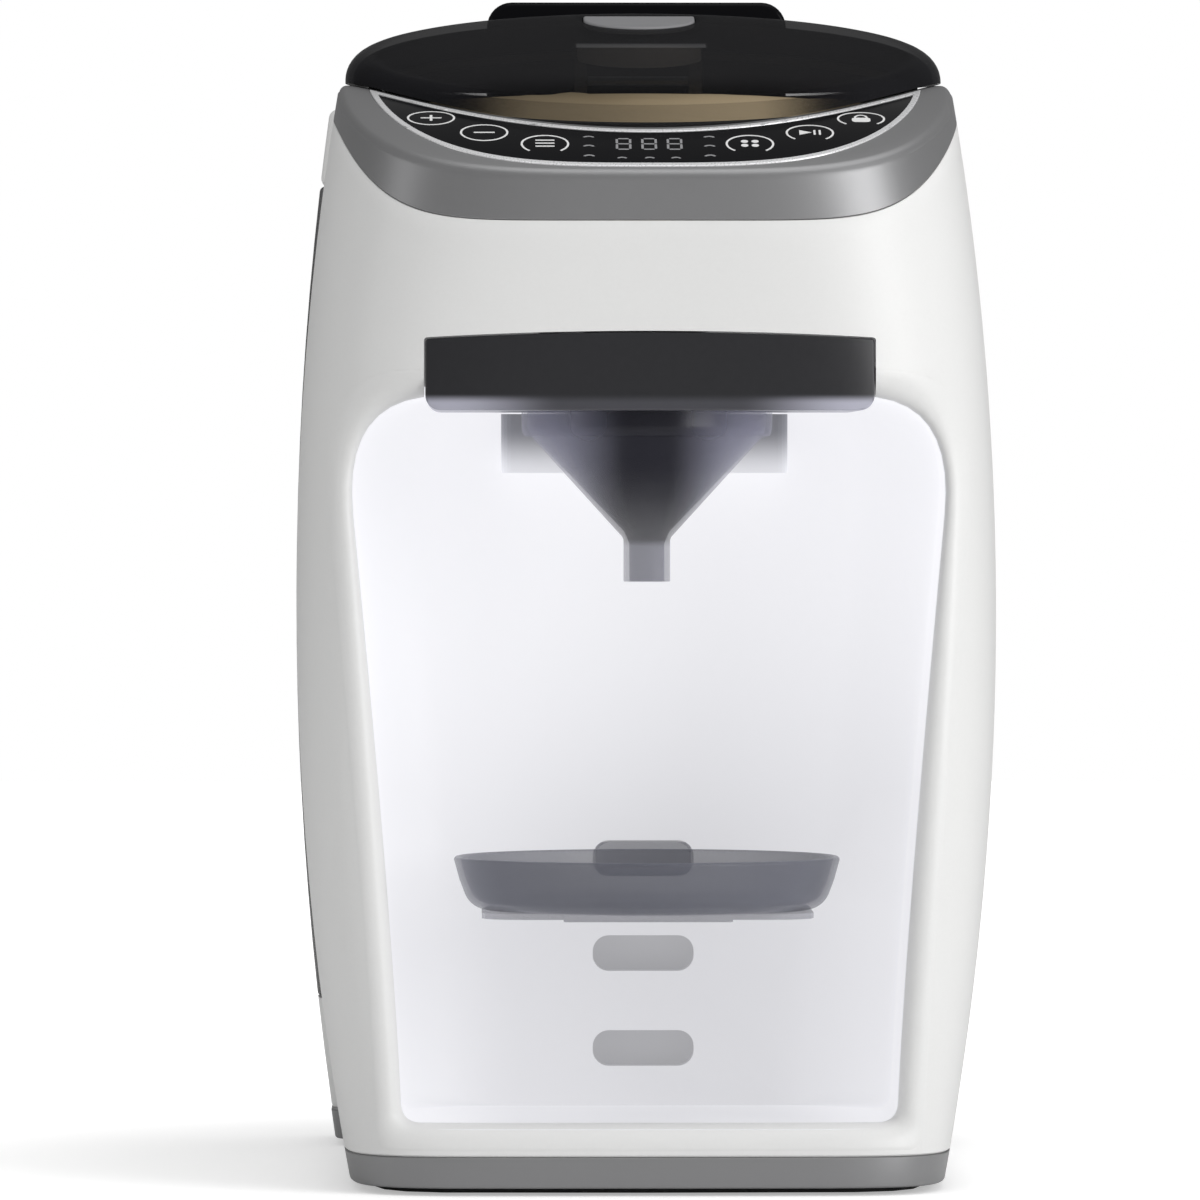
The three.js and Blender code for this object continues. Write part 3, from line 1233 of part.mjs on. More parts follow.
function waterWorks() {
  const floor = base.bottomZ + base.floor + seatGap;
  const ribSpan = heater.topZ - heater.ribWidth - floor;
  const profile = [[0, floor], [heater.radius, floor]];
  for (let i = 0; i < heaterRibCount; i++) {
    const z = floor + (ribSpan * (i + 1)) / (heaterRibCount + 1);
    const low = z - heater.ribWidth / 2;
    const grooved = heater.radius - heater.ribDepth;
    profile.push([heater.radius, low], [grooved, low], [grooved, z], [heater.radius, z]);
  }
  profile.push([heater.radius, heater.topZ], [0, heater.topZ]);
  addPiece('water_heater', turned(profile, 14), 'steel', 'metal', [heater.x, heater.y, 0]);

  const pumpPlace = [pump.x, pump.y, 0];
  const cup = turned([
    [0, floor],
    [pump.radius, floor],
    [pump.radius, pump.topZ],
    [pump.bore, pump.topZ],
    [pump.bore, pump.boreZ],
    [0, pump.boreZ],
  ], 28);
  addPiece('pump_body', cup, 'grey', 'satin', pumpPlace);
  let rotor = rod(pump.rotorHub, pump.boreZ + seatGap, pump.topZ - seatGap, 16);
  for (let i = 0; i < vaneCount; i++) {
    const vane = box(
      0, pump.bore - runGap,
      -pump.vane / 2, pump.vane / 2,
      pump.boreZ + seatGap, pump.topZ - runGap,
    );
    rotor = join(rotor, vane.rotate([0, 0, (360 * i) / vaneCount]));
  }
  addPiece('pump_rotor', rotor, 'white', 'satin', pumpPlace);

  const tankSide = bodyRearY + passage.topZ - passage.bottomZ;
  const gapX = pump.x - pump.radius - seatGap * 2;
  const suction = [
    [0, tankMiddleY, spout.bottomZ - seatGap],
    [0, tankMiddleY, hose.z + hose.radius * 2],
    [0, (tankSide + bodyRearY) / 2, hose.z],
    [0, bodyRearY - body.wall, hose.z],
    [gapX / 3, pump.y + hose.bend, hose.z],
    [gapX - hose.radius * 3, pump.y, hose.z],
    [gapX, pump.y, hose.z],
  ];
  addPiece('suction_hose', tube(suction, hose.radius, 14), 'glow', 'soft');
  const heaterFace = heater.x + heater.radius + seatGap * 2;
  const pressure = [
    [pump.x, pump.y - pump.radius - seatGap * 2, hose.z],
    [pump.x, pump.y - pump.radius * 2, hose.z],
    [pump.x / 2, pump.y - pump.radius * 2 - hose.sweep, hose.z],
    [0, pump.y - pump.radius * 2, hose.z + hose.radius],
    [heaterFace + hose.bend, heater.y, hose.z + hose.radius * 2],
    [heaterFace, heater.y, hose.z + hose.radius * 2],
  ];
  addPiece('pressure_hose', tube(pressure, hose.radius, 14), 'glow', 'soft');
  const rise = valve.bottomZ - heater.topZ;
  const valveY = (valve.frontY + valve.rearY) / 2;
  const hot = [
    [heater.x, heater.y, heater.topZ + seatGap],
    [heater.x, heater.y, heater.topZ + rise / 4],
    [(heater.x + nozzle.x) / 2, (heater.y + valveY) / 2, heater.topZ + rise / 2],
    [nozzle.x, valveY, valve.bottomZ - rise / 4],
    [nozzle.x, valveY, valve.bottomZ - seatGap],
  ];
  addPiece('hot_hose', tube(hot, hose.radius, 10), 'glow', 'soft');
}

shells();
topBand();
bayLiner();
waterParts();
drawerParts();
trayParts();
containerParts();
agitatorParts();
driveParts();
lidParts();
tankParts();
shelfParts();
baseParts();
waterWorks();

export default formulaMaker;
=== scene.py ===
"""Baby formula maker: fine surfaces, finishes, powder, floor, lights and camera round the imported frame."""
import json
import math

import bmesh
import bpy
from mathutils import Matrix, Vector


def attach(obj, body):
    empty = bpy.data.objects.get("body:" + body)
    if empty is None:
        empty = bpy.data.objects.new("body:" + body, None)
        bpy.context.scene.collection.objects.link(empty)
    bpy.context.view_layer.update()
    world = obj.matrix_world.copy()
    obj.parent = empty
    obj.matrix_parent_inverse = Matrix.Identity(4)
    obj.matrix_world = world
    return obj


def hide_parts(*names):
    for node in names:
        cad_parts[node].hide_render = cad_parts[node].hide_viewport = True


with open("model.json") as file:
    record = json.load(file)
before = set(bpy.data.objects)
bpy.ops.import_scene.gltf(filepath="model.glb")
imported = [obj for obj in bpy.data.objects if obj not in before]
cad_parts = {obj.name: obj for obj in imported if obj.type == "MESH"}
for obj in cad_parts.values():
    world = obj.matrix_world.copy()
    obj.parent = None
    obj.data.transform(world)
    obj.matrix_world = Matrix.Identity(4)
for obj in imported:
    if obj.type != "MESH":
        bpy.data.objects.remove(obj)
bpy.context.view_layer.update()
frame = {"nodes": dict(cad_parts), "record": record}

# Every size below is in millimetres; MM turns it into Blender's metres
MM = 0.001

# Housing: its plan is a superellipse about (0, CENTRE_Y), its sides are bowed
CENTRE_Y = -21
BODY = dict(front=125, rear=115, half=107.4, widest=180, bow=960, low=11.8, top=345, wall=2.8, seam=40)
BODY_POWERS = dict(base=7.5, top=3.3, rear=10)
TANK = dict(front=95.9, rear=141.5, half=110.28, widest=175, bow=1171, low=47.35, top=310, wall=2.6,
            edge=1.5, lid_top=335, lid_gap=0.35, lid_edge=2.5, spout=8, spout_bore=6.2, spout_low=40)
TANK_POWERS = dict(front=12, rear=6)
TANK_LUG = dict(y=144.1, z=310.175, radius=2.8, inner=60, outer=67, gap=0.35, reach=6.16, rise=0.3)
BAND = dict(edge=292.6, rise=30, half=95, power=7, deck=337.6, drop=30.5, thick=4.2, round=2.2, soft=0.3)
PANEL = dict(half=84, depth=120, inner=94.5, power=3.3, glass=1.8, trim=1.6, inset=0.6, proud=0.35, soft=0.3)
BASE = dict(low=2.3, edge=0.8, top_edge=0.3, rear_start=80)
BAY = dict(floor=21.6, top=240, low_half=74.6, high_half=92.8, flare=1.25, high_round=30, high_fall=36,
           low_round=6, lip=1.6, wall=2.2, back=-27, corner=26, edge=8, lap=0.6, dip=0.3)
POCKET = dict(half=15.75, high=5.6, round=5, lowest=37.8, pitch=29.6, depth=10, wall=2, lap=1, count=3)
DRAWER = dict(half=67.4, low=235.7, top=259.1, rear=-43.2, wall=2.5, front_wall=3.2, low_round=4.5,
              high_round=1, arch=1.9, gap=0.4, clear=0.8, inner_round=2, seat=38.65, soft=0.5)
DRAWER_NOTCH = dict(left=-30.4, right=-23.6, low=246.6)
OUTLET_Y = -88
CONTAINER = dict(radius=86, wall=2.5, floor=268, thick=3, rim=335, outlet=11, ring=44, ring_wall=3,
                 ring_low=264.35, bore=9.2, low_round=3, floor_round=2, rise=40, lap=0.6, mouth=90.6)
POWDER = dict(low=299.6, top=328.6, slope=0.12, gap=0.4, rings=25, steps=160)
TILT = 0.175
LID = dict(radius=92.8, top=347.6, tilt=0.195, wall=2.5, round=8, ring=84.5, ring_wall=2, seal_top=338.2,
           skirt=0.8)
SEAL = dict(gap=0.3, inset=0.4, wall=3.6, thick=2.5)
HINGE = dict(y=73, z=343, knuckle=3.2, half=16, gap=0.35, width=8, notch=352)
BUTTON = dict(half=17.7, front=31, rear=55, thick=2.4, proud=0.6, gap=0.35, well_wall=1.8, well=12,
              floor=1.6, soft=0.7)
TRAY = dict(rim=58.9, top=100, floor=83.8, wall=2, foot=48.6, foot_round=7.5, shoulder=57.2,
            shoulder_z=92.8, centre=0.01)
FUNNEL = dict(spout=7.15, low=183.8, wall=1.8, neck_z=196.2, neck_round=2.2, cone=35.2, cone_z=227.9,
              bell=32.6, bell_z=231.2, bell_round=5.7, rim=38.3, rim_z=233.4, flange=42, flange_z=238.55,
              top=240.35, soft=0.3)
FUNNEL_INSIDE = dict(rim_z=233.8, bell=32.2, bell_z=231.6, bell_round=4.3, neck=7.9, neck_z=199.2,
                     throat_z=195.4)
HANDLE = dict(half=48.4, front=98, rear=132, low=335.35, top=369.5, leg=9, bar=11, round=8, foot=0.6,
              soft=1.8)
SEAM = 0.12
# How far a cutting form runs past what it cuts
OVERRUN = 6
ROUND_STEPS = 288
TURN_STEPS = 144
CREASE_ANGLE = 32
# A depth clear of the housing's front
AHEAD = CENTRE_Y - BODY["front"] - OVERRUN

# Looks that change over a piece: where they change, in millimetres, and their levels. Those of the liner,
# funnel, drawer, shroud and powder paint light and shade into colour or glow
LID_WELL = dict(half=20, front=10, top=352)
LID_WINDOW = dict(rear=-60, front=-100, fade=72, half=32)
LID_RIM = dict(start=70, end=90)
LID_ALPHA = dict(window=0.14, plain=0.60, rim=0.93)
# Painted glow of the bay's liner over its height and sides, and painted shade in its pockets
LINER_PAINTED_GLOW = dict(low=40, high=210, middle=35, side=75, side_share=0.45, dim=0.49, bright=0.68, pocket=0.45)
# Where the funnel thickens upwards, and where its flanks and spout take painted light
FUNNEL_LOOK = dict(low=196, high=232, middle=6, flank=34, spout_start=197, spout_end=194, spout_share=0.35)
FUNNEL_ALPHA = dict(low=0.43, high=0.88, lit=0.42)
# Where the bay's light is painted into the drawer's lower edge
DRAWER_PAINTED_EDGE_LIGHT = dict(start=5, end=2, middle=26, side=62, share=0.10)
# Painted shade at the shroud's top and painted glow at its foot
SHROUD_PAINTED_GLOW = dict(top=231, foot=216, dim=0.05, bright=0.6)
# Painted light on the powder: its emission rises from left to right
POWDER_PAINTED_LIGHT = dict(left=-40, right=40, dim=0.14, bright=0.46)
SMOKE = (0.014, 0.014, 0.016)
# Colours of painted light: a cool glow on the liner and shroud, a warm one on the powder
COOL_LIGHT = (0.97, 0.97, 1, 1)
WARM_LIGHT = (0.72, 0.57, 0.36, 1)

# Stage: the floor's sizes are in millimetres, the lights' and the camera's in metres
FLOOR = dict(half=4000, colour=0.8, rough=0.9, near=120, far=500, near_glow=0.4)
WORLD = dict(light=0.47, gloss=0.18)
LIGHTS = {
    "key_right": dict(place=(1.5, -1.4, 0.7), aim=(0, 0, 0.17), size=(1.0, 1.4), power=21),
    "edge_left": dict(place=(-1.4, -0.5, 0.5), aim=(0, 0, 0.17), size=(0.5, 1.2), power=2.5),
    "top": dict(place=(0.3, -0.2, 1.8), aim=(0, 0, 0.2), size=(1.2, 1.2), power=8),
}
CAMERA = dict(place=(-0.055, -3.141, 0.2142), aim=(-0.015, -0.141, 0.1788), sensor=36, lens=300, near=0.05,
              far=50)


# Meshes from rings of points

def finish_mesh(obj):
    """Smooth shading with creases where faces meet at more than the crease angle."""
    mesh = obj.data
    work = bmesh.new()
    work.from_mesh(mesh)
    bmesh.ops.recalc_face_normals(work, faces=work.faces)
    work.to_mesh(mesh)
    work.free()
    mesh.shade_smooth()
    mesh.set_sharp_from_angle(angle=math.radians(CREASE_ANGLE))
    return obj


def placed(name, data):
    obj = bpy.data.objects.new(name, data)
    bpy.context.scene.collection.objects.link(obj)
    return obj


def mesh_object(name, points, faces):
    mesh = bpy.data.meshes.new(name)
    mesh.from_pydata([Vector(p) * MM for p in points], [], faces)
    return finish_mesh(placed(name, mesh))


def loft(name, rings, closed=False):
    """Joins rings of equal length, with flat ends or, when closed, its last ring to its first."""
    count, last = len(rings[0]), len(rings)
    points = [p for ring in rings for p in ring]
    faces = []
    for k in range(last if closed else last - 1):
        a, b = k * count, (k + 1) % last * count
        faces += [(a + i, a + (i + 1) % count, b + (i + 1) % count, b + i) for i in range(count)]
    if not closed:
        faces += [tuple(reversed(range(count))), tuple(range((last - 1) * count, last * count))]
    return mesh_object(name, points, faces)


def prism(name, outline, axis, a, b):
    """A flat outline pushed along an axis. The outline is (x, y) for Z, (x, z) for Y and (y, z) for X."""
    place = {
        "X": lambda u, v, w: (w, u, v),
        "Y": lambda u, v, w: (u, w, v),
        "Z": lambda u, v, w: (u, v, w),
    }[axis]
    return loft(name, [[place(u, v, w) for u, v in outline] for w in (a, b)])


def levels(low, high, count):
    return [low + (high - low) * i / count for i in range(count + 1)]


def round_angles(count=ROUND_STEPS):
    return [2 * math.pi * i / count for i in range(count)]


def turned(name, profile, x, y, steps=TURN_STEPS):
    """A closed profile of (radius, z) turned about the vertical through (x, y)."""
    rings = [[(x + r * math.cos(a), y + r * math.sin(a), z) for r, z in profile] for a in round_angles(steps)]
    return loft(name, rings, closed=True)


def circle(radius, x, y, steps=TURN_STEPS):
    return [(x + radius * math.cos(a), y + radius * math.sin(a)) for a in round_angles(steps)]


def rod(name, radius, low, high, x, y, steps=TURN_STEPS):
    return prism(name, circle(radius, x, y, steps), "Z", low, high)


def arc(x, y, radius, start, end, steps=8):
    turns = [math.radians(turn) for turn in levels(start, end, steps)]
    return [(x + radius * math.cos(t), y + radius * math.sin(t)) for t in turns]


def edge_round(radius, count):
    """Offsets (down, in) round an edge: from the radius below it on the side to the radius within the top."""
    turns = levels(0, math.pi / 2, count)
    return [(radius * (1 - math.sin(t)), radius * (1 - math.cos(t))) for t in turns]


def rounded(x0, x1, y0, y1, low, high=None):
    """A rectangle with one radius for its lower corners and one for its upper corners."""
    high = low if high is None else high
    return (arc(x1 - low, y0 + low, low, -90, 0) + arc(x1 - high, y1 - high, high, 0, 90)
            + arc(x0 + high, y1 - high, high, 90, 180) + arc(x0 + low, y0 + low, low, 180, 270))


def apply_modifiers(obj):
    graph = bpy.context.evaluated_depsgraph_get()
    made = bpy.data.meshes.new_from_object(obj.evaluated_get(graph))
    old = obj.data
    obj.modifiers.clear()
    obj.data = made
    bpy.data.meshes.remove(old)
    return obj


def combine(obj, tools, operation):
    for tool in tools:
        modifier = obj.modifiers.new(operation, "BOOLEAN")
        modifier.operation = operation
        modifier.solver = "MANIFOLD"
        modifier.object = tool
        apply_modifiers(obj)
        bpy.data.objects.remove(tool)
    return finish_mesh(obj)


def cut(obj, *tools):
    return combine(obj, tools, "DIFFERENCE")


def join(obj, *tools):
    return combine(obj, tools, "UNION")


def meet(obj, *tools):
    return combine(obj, tools, "INTERSECT")


def soften(obj, width, segments, angle):
    """Rounds a piece's creases sharper than the angle by a small radius."""
    modifier = obj.modifiers.new("soft_edges", "BEVEL")
    modifier.width = width * MM
    modifier.segments = segments
    modifier.limit_method = "ANGLE"
    modifier.angle_limit = math.radians(angle)
    modifier.use_clamp_overlap = False
    modifier.harden_normals = True
    return obj


def together(obj, *others):
    """Puts other meshes into the same piece, as islands of their own."""
    work = bmesh.new()
    for source in (obj, *others):
        work.from_mesh(source.data)
    work.to_mesh(obj.data)
    work.free()
    for other in others:
        bpy.data.objects.remove(other)
    return finish_mesh(obj)


# The housing's forms

def bowed(widest, widest_z, bow, z):
    return widest - (bow - math.sqrt(bow ** 2 - (z - widest_z) ** 2))


def front_power(z):
    share = min(1, max(0, (z - BODY["low"]) / (BODY["top"] - BODY["low"])))
    return BODY_POWERS["base"] + (BODY_POWERS["top"] - BODY_POWERS["base"]) * share


def body_point(angle, z, inset=0):
    """A point of the housing's surface, at an angle about its plan centre, moved inwards by the inset."""
    across, along = math.cos(angle), math.sin(angle)
    half = bowed(BODY["half"], BODY["widest"], BODY["bow"], z) - inset
    power = front_power(z) if along < 0 else BODY_POWERS["rear"]
    depth = (BODY["front"] if along < 0 else BODY["rear"]) - inset
    radius = (abs(across / half) ** power + abs(along / depth) ** power) ** (-1 / power)
    return (radius * across, CENTRE_Y + radius * along, z)


def front_y(x, z):
    """Depth of the housing's front surface at a place in the front view."""
    half = bowed(BODY["half"], BODY["widest"], BODY["bow"], z)
    power = front_power(z)
    return CENTRE_Y - BODY["front"] * (1 - min(1, abs(x / half)) ** power) ** (1 / power)


def body_form(name, inset, low, high, count=24):
    return loft(name, [[body_point(a, z, inset) for a in round_angles()] for z in levels(low, high, count)])


def band_edge(x):
    return BAND["edge"] + BAND["rise"] * abs(x / BAND["half"]) ** BAND["power"]


def deck_z(y):
    return BAND["deck"] - BAND["drop"] * (max(0, CENTRE_Y - y) / BODY["front"]) ** 2


def settle(height, angle, start):
    """The height at which the housing's surface meets an edge whose height follows x or y."""
    z = start
    for _ in range(8):
        z = height(body_point(angle, z))
    return z


def under_deck(name, drop):
    ys = [BODY["rear"] + OVERRUN] + levels(CENTRE_Y, AHEAD, 40)
    outline = [(y, deck_z(y) - drop) for y in ys]
    low = BODY["low"] - OVERRUN
    outline += [(ys[-1], low), (ys[0], low)]
    return prism(name, outline, "X", -BODY["half"] - OVERRUN, BODY["half"] + OVERRUN)


def bay_outline(outset, side_inset=0):
    """The bay's outline in the front view, its sides flaring upwards."""
    low, high = BAY["floor"] - outset, BAY["top"] + outset

    def half(z):
        share = max(0, z - BAY["floor"]) / (BAY["top"] - BAY["floor"])
        spread = (BAY["high_half"] - BAY["low_half"]) * share ** BAY["flare"]
        return BAY["low_half"] + outset - side_inset + spread

    def corner(a, b, c):
        return [tuple(a[k] * (1 - t) ** 2 + 2 * b[k] * t * (1 - t) + c[k] * t * t for k in (0, 1))
                for t in levels(0, 1, 10)]

    start, end = low + BAY["low_round"], high - BAY["high_fall"]
    right = corner((half(low) - BAY["low_round"], low), (half(low), low), (half(start), start))
    right += [(half(z), z) for z in levels(start, end, 30)[1:-1]]
    right += corner((half(end), end), (half(high), high), (half(high) - BAY["high_round"], high))
    (low_x, _), (high_x, _) = right[0], right[-1]
    above = [(x, high) for x in levels(high_x, -high_x, 24)[1:-1]]
    below = [(x, low) for x in levels(-low_x, low_x, 24)[1:-1]]
    return right + above + [(-x, z) for x, z in reversed(right)] + below


def drawer_outline(outset):
    """The drawer in the front view: rounded below, with a slightly arched upper edge."""
    half, top = DRAWER["half"] + outset, DRAWER["top"] + outset
    plain = rounded(-half, half, DRAWER["low"] - outset, top - DRAWER["arch"], DRAWER["low_round"],
                    DRAWER["high_round"])
    reach = half - DRAWER["high_round"]
    arch = [(x, top - DRAWER["arch"] * (x / reach) ** 2) for x in levels(reach, -reach, 32)[1:-1]]
    corner = len(arc(0, 0, 1, 0, 90)) * 2
    return plain[:corner] + arch + plain[corner:]


# Pieces of the housing

def shell_ring(angle):
    """Section of the shell at one angle: up the outside, over the top edge and down the inside."""
    wall, edge = BODY["wall"], 0.5
    top = settle(lambda p: band_edge(p[0]) - SEAM / 2, angle, BAND["edge"])
    heights = [BODY["low"] + edge, *levels(BODY["low"] + OVERRUN, top - OVERRUN, 40), top - edge]
    outside = [body_point(angle, BODY["low"], edge)] + [body_point(angle, z) for z in heights]
    above = [body_point(angle, top, edge * 0.4)[:2] + (top - edge * 0.1,), body_point(angle, top, wall)]
    inside = [body_point(angle, z, wall) for z in levels(top - OVERRUN, BODY["low"], 30)]
    return outside + above + inside


def bay_lip():
    """Rounded edge of the bay's opening: rings of the bay's outline, each set back from the front surface."""
    radius, back = BAY["edge"], BAY["edge"] + 1
    section = [(radius + BAY["lap"], BAY["dip"]), *edge_round(radius, 10)]
    section += [(0, back), (radius + BAY["lap"], back)]
    rings = [[(x, front_y(x, z) + depth, z) for x, z in bay_outline(outset)] for outset, depth in section]
    return loft("bay_lip", rings, closed=True)


def make_shells():
    whole = loft("shell_form", [shell_ring(a) for a in round_angles()], closed=True)
    far = BODY["half"] + OVERRUN
    behind = CENTRE_Y + BODY["rear"] + OVERRUN
    copy = placed("rear_form", whole.data.copy())
    ends = [(-far, 0), (far, 0), (far, BODY["top"]), (-far, BODY["top"])]
    bay = prism("bay_cut", bay_outline(BAY["edge"]), "Y", AHEAD, BAY["back"])
    slot = prism("drawer_cut", drawer_outline(DRAWER["gap"]), "Y", AHEAD, BAY["back"])
    shell = cut(meet(whole, prism("front_half", ends, "Y", AHEAD, BODY["seam"])), bay)
    shell = cut(together(shell, bay_lip()), slot)
    shell.name = "white_front_shell"
    finish(shell, "housing", "shell_white", "front_shell")
    back = meet(copy, prism("rear_half", ends, "Y", BODY["seam"] + SEAM, behind))
    back.name = "white_rear_shell"
    finish(back, "housing", "shell_white", "rear_shell")


def band_ring(angle):
    """Section of the band at one angle: up the side, over the crease, across the deck to the mouth."""
    radius, thick, wall, edge = BAND["round"], BAND["thick"], BODY["wall"], BAND["soft"]
    low = settle(lambda p: band_edge(p[0]) + SEAM / 2, angle, BAND["edge"])
    top = settle(lambda p: deck_z(p[1]), angle, BAND["deck"])
    heights = levels(low + edge, top - radius, 14)
    side = [body_point(angle, low, edge)] + [body_point(angle, z) for z in heights]
    crease = []
    for down, inwards in edge_round(radius, 7)[1:]:
        x, y = body_point(angle, top, inwards)[:2]
        crease.append((x, y, deck_z(y) - down))
    start = Vector(crease[-1][:2])
    mouth = Vector((math.cos(angle), math.sin(angle))) * CONTAINER["mouth"] + Vector((0, CENTRE_Y))
    deck = [start.lerp(mouth, t) for t in levels(0, 1, 10)[1:]]
    over = [(p.x, p.y, deck_z(p.y)) for p in deck]
    inner = Vector(body_point(angle, top, wall)[:2])
    under = [mouth.lerp(inner, t) for t in levels(0, 1, 4)]
    below = [(p.x, p.y, deck_z(p.y) - thick) for p in under]
    inside = [body_point(angle, z, wall) for z in levels(min(top - thick, below[-1][2]) - 0.5, low, 6)]
    return side + crease + over + below + inside


def panel_outline(outset):
    """The crescent in plan: a superellipse in front, the lid's circle behind."""
    def edge(angle):
        across = abs(math.sin(angle) / PANEL["half"]) ** PANEL["power"]
        along = abs(math.cos(angle) / PANEL["depth"]) ** PANEL["power"]
        return (across + along) ** (-1 / PANEL["power"]) + outset
    inner, near, far = PANEL["inner"] - outset, 0, math.pi / 2
    for _ in range(40):
        middle = (near + far) / 2
        near, far = (middle, far) if edge(middle) > inner else (near, middle)

    def at(radius, angle):
        return (radius * math.sin(angle), CENTRE_Y - radius * math.cos(angle))
    outer = [at(edge(a), a) for a in levels(-near, near, 120)]
    return outer + [at(inner, a) for a in levels(near, -near, 100)[1:-1]]


def deck_slice(name, outline, low, high):
    """A plan outline between two surfaces that follow the deck, low and high above it."""
    form = prism(name, outline, "Z", BODY["low"], BODY["top"])
    return cut(meet(form, under_deck("above", -high)), under_deck("below", -low))


def make_band():
    band = loft("grey_top_band", [band_ring(a) for a in round_angles()], closed=True)
    recess = deck_slice("recess", panel_outline(PANEL["trim"] + SEAM), -PANEL["glass"] - SEAM, OVERRUN)
    finish(cut(band, recess), "housing", "band_grey", "top_band")
    glass = deck_slice("black_panel_glass", panel_outline(-PANEL["inset"] - SEAM), -PANEL["glass"], 0)
    finish(glass, "housing", "panel_black", "control_glass")
    trim = deck_slice("silver_panel_rim", panel_outline(PANEL["trim"]), -PANEL["glass"], PANEL["proud"])
    trim = cut(trim, deck_slice("trim_hole", panel_outline(-PANEL["inset"]), -OVERRUN, OVERRUN))
    finish(soften(trim, PANEL["soft"], 2, 50), "housing", "trim_silver", "panel_trim")


def make_liner():
    rear, radius, clear = BAY["back"], BAY["corner"], DRAWER["clear"]
    outer = prism("white_bay_liner", bay_outline(BAY["lip"] + BAY["wall"]), "Y", AHEAD, rear + BAY["wall"])
    sections = [(AHEAD - OVERRUN, 0)]
    sections += [(rear - down, inwards) for down, inwards in edge_round(radius, 8)]
    rings = [[(x, y, z) for x, z in bay_outline(BAY["lip"], inset)] for y, inset in sections]
    shell = cut(outer, loft("bay_space", rings))
    shell = meet(shell, body_form("inside", BODY["wall"] + SEAM, 0, BODY["top"] + OVERRUN))
    half = DRAWER["half"] + clear
    path = rounded(-half, half, DRAWER["low"] - clear, BODY["top"], DRAWER["high_round"])
    shell = cut(shell, prism("drawer_path", path, "Y", AHEAD - OVERRUN, DRAWER["rear"] + clear))
    for k in range(POCKET["count"]):
        z, end = POCKET["lowest"] + POCKET["pitch"] * k, rear + POCKET["depth"]
        box = pocket_outline(POCKET["wall"], z)
        shell = join(shell, prism("pocket_box", box, "Y", rear + POCKET["lap"], end + POCKET["wall"]))
        shell = cut(shell, prism("pocket_cut", pocket_outline(0, z), "Y", rear - OVERRUN, end))
    finish(shell, "housing", "liner_white", "bay_liner")


def pocket_outline(outset, z):
    return rounded(-POCKET["half"] - outset, POCKET["half"] + outset, z - POCKET["high"] - outset,
                   z + POCKET["high"] + outset, POCKET["round"] + outset)


def make_base():
    def ring(z, inset):
        return [body_point(a, z, inset) for a in round_angles()]
    low, top, edge, top_edge = BASE["low"], BODY["low"] - SEAM, BASE["edge"], BASE["top_edge"]
    stack = [(low + inwards, down) for down, inwards in edge_round(edge, 4)]
    stack += [(top - top_edge, 0), (top, top_edge)]
    front = loft("grey_base_pan", [ring(z, inset) for z, inset in stack])
    rear = loft("base_rear", [tank_ring(z, inset, BASE["rear_start"]) for z, inset in stack])
    finish(join(front, rear), "housing", "band_grey", "base_pan")


# Rear: the tank with its own bow, its shelf, lid and handle

def tank_ring(z, inset, front=TANK["front"]):
    half = bowed(TANK["half"], TANK["widest"], TANK["bow"], z) - inset
    middle, depth = (front + TANK["rear"]) / 2, (TANK["rear"] - front) / 2 - inset
    ring = []
    for angle in round_angles(240):
        across, along = math.cos(angle), math.sin(angle)
        power = TANK_POWERS["front"] if along < 0 else TANK_POWERS["rear"]
        x = math.copysign(abs(across) ** (2 / power), across)
        y = math.copysign(abs(along) ** (2 / power), along)
        ring.append((half * x, middle + depth * y, z))
    return ring


def tank_form(name, stack):
    return loft(name, [tank_ring(z, inset) for z, inset in stack])


def edged(low, high, radius, inset=0):
    """Heights and insets of a form with rounded lower and upper edges."""
    rounding = edge_round(radius, 5)
    lower = [(low + down, inset + inwards) for down, inwards in reversed(rounding)]
    upper = [(high - down, inset + inwards) for down, inwards in rounding]
    return lower + [(z, inset) for z in levels(low + radius, high - radius, 16)[1:-1]] + upper


def make_tank():
    wall, lug = TANK["wall"], TANK_LUG
    step = lug["outer"] - lug["inner"] + lug["gap"]
    tank = tank_form("smoked_tank", edged(TANK["low"], TANK["top"], TANK["edge"]))
    tank = cut(tank, tank_form("tank_space", edged(TANK["low"] + wall, TANK["top"] + OVERRUN, 1, wall)))
    middle = (TANK["front"] + TANK["rear"]) / 2
    start, end = TANK["spout_low"], TANK["low"] + wall
    tank = join(tank, rod("spout", TANK["spout"], start, end, 0, middle))
    tank = cut(tank, rod("spout_bore", TANK["spout_bore"], start - OVERRUN, end + OVERRUN, 0, middle))
    for side in (-1, 1):
        tank = join(tank, hinge_lug(side * lug["inner"], side * lug["outer"], -1))
    finish(tank, "tank", "smoke_clear", "tank_body", look="tank")
    low = TANK["top"] + TANK["lid_gap"]
    lid = tank_form("white_tank_lid", edged(low, TANK["lid_top"], TANK["lid_edge"]))
    lid = cut(lid, tank_form("lid_space", [(low - OVERRUN, wall), (TANK["lid_top"] - wall, wall)]))
    for side in (-1, 1):
        lid = join(lid, hinge_lug(side * (lug["inner"] + step), side * (lug["outer"] + step), 1))
    finish(lid, "tank_lid", "shell_white", "tank_lid")


def hinge_lug(x0, x1, up):
    """A knuckle with a root that runs up or down the wall behind it."""
    y, z, radius, back = TANK_LUG["y"], TANK_LUG["z"], TANK_LUG["radius"], TANK_LUG["y"] - TANK_LUG["reach"]
    outline = arc(y, z, radius, -90 if up > 0 else -180, 90 if up < 0 else 180, 16)
    outline += [(back, z + up * radius), (back, z + up * TANK_LUG["rise"])]
    return prism("lug", outline, "X", min(x0, x1), max(x0, x1))


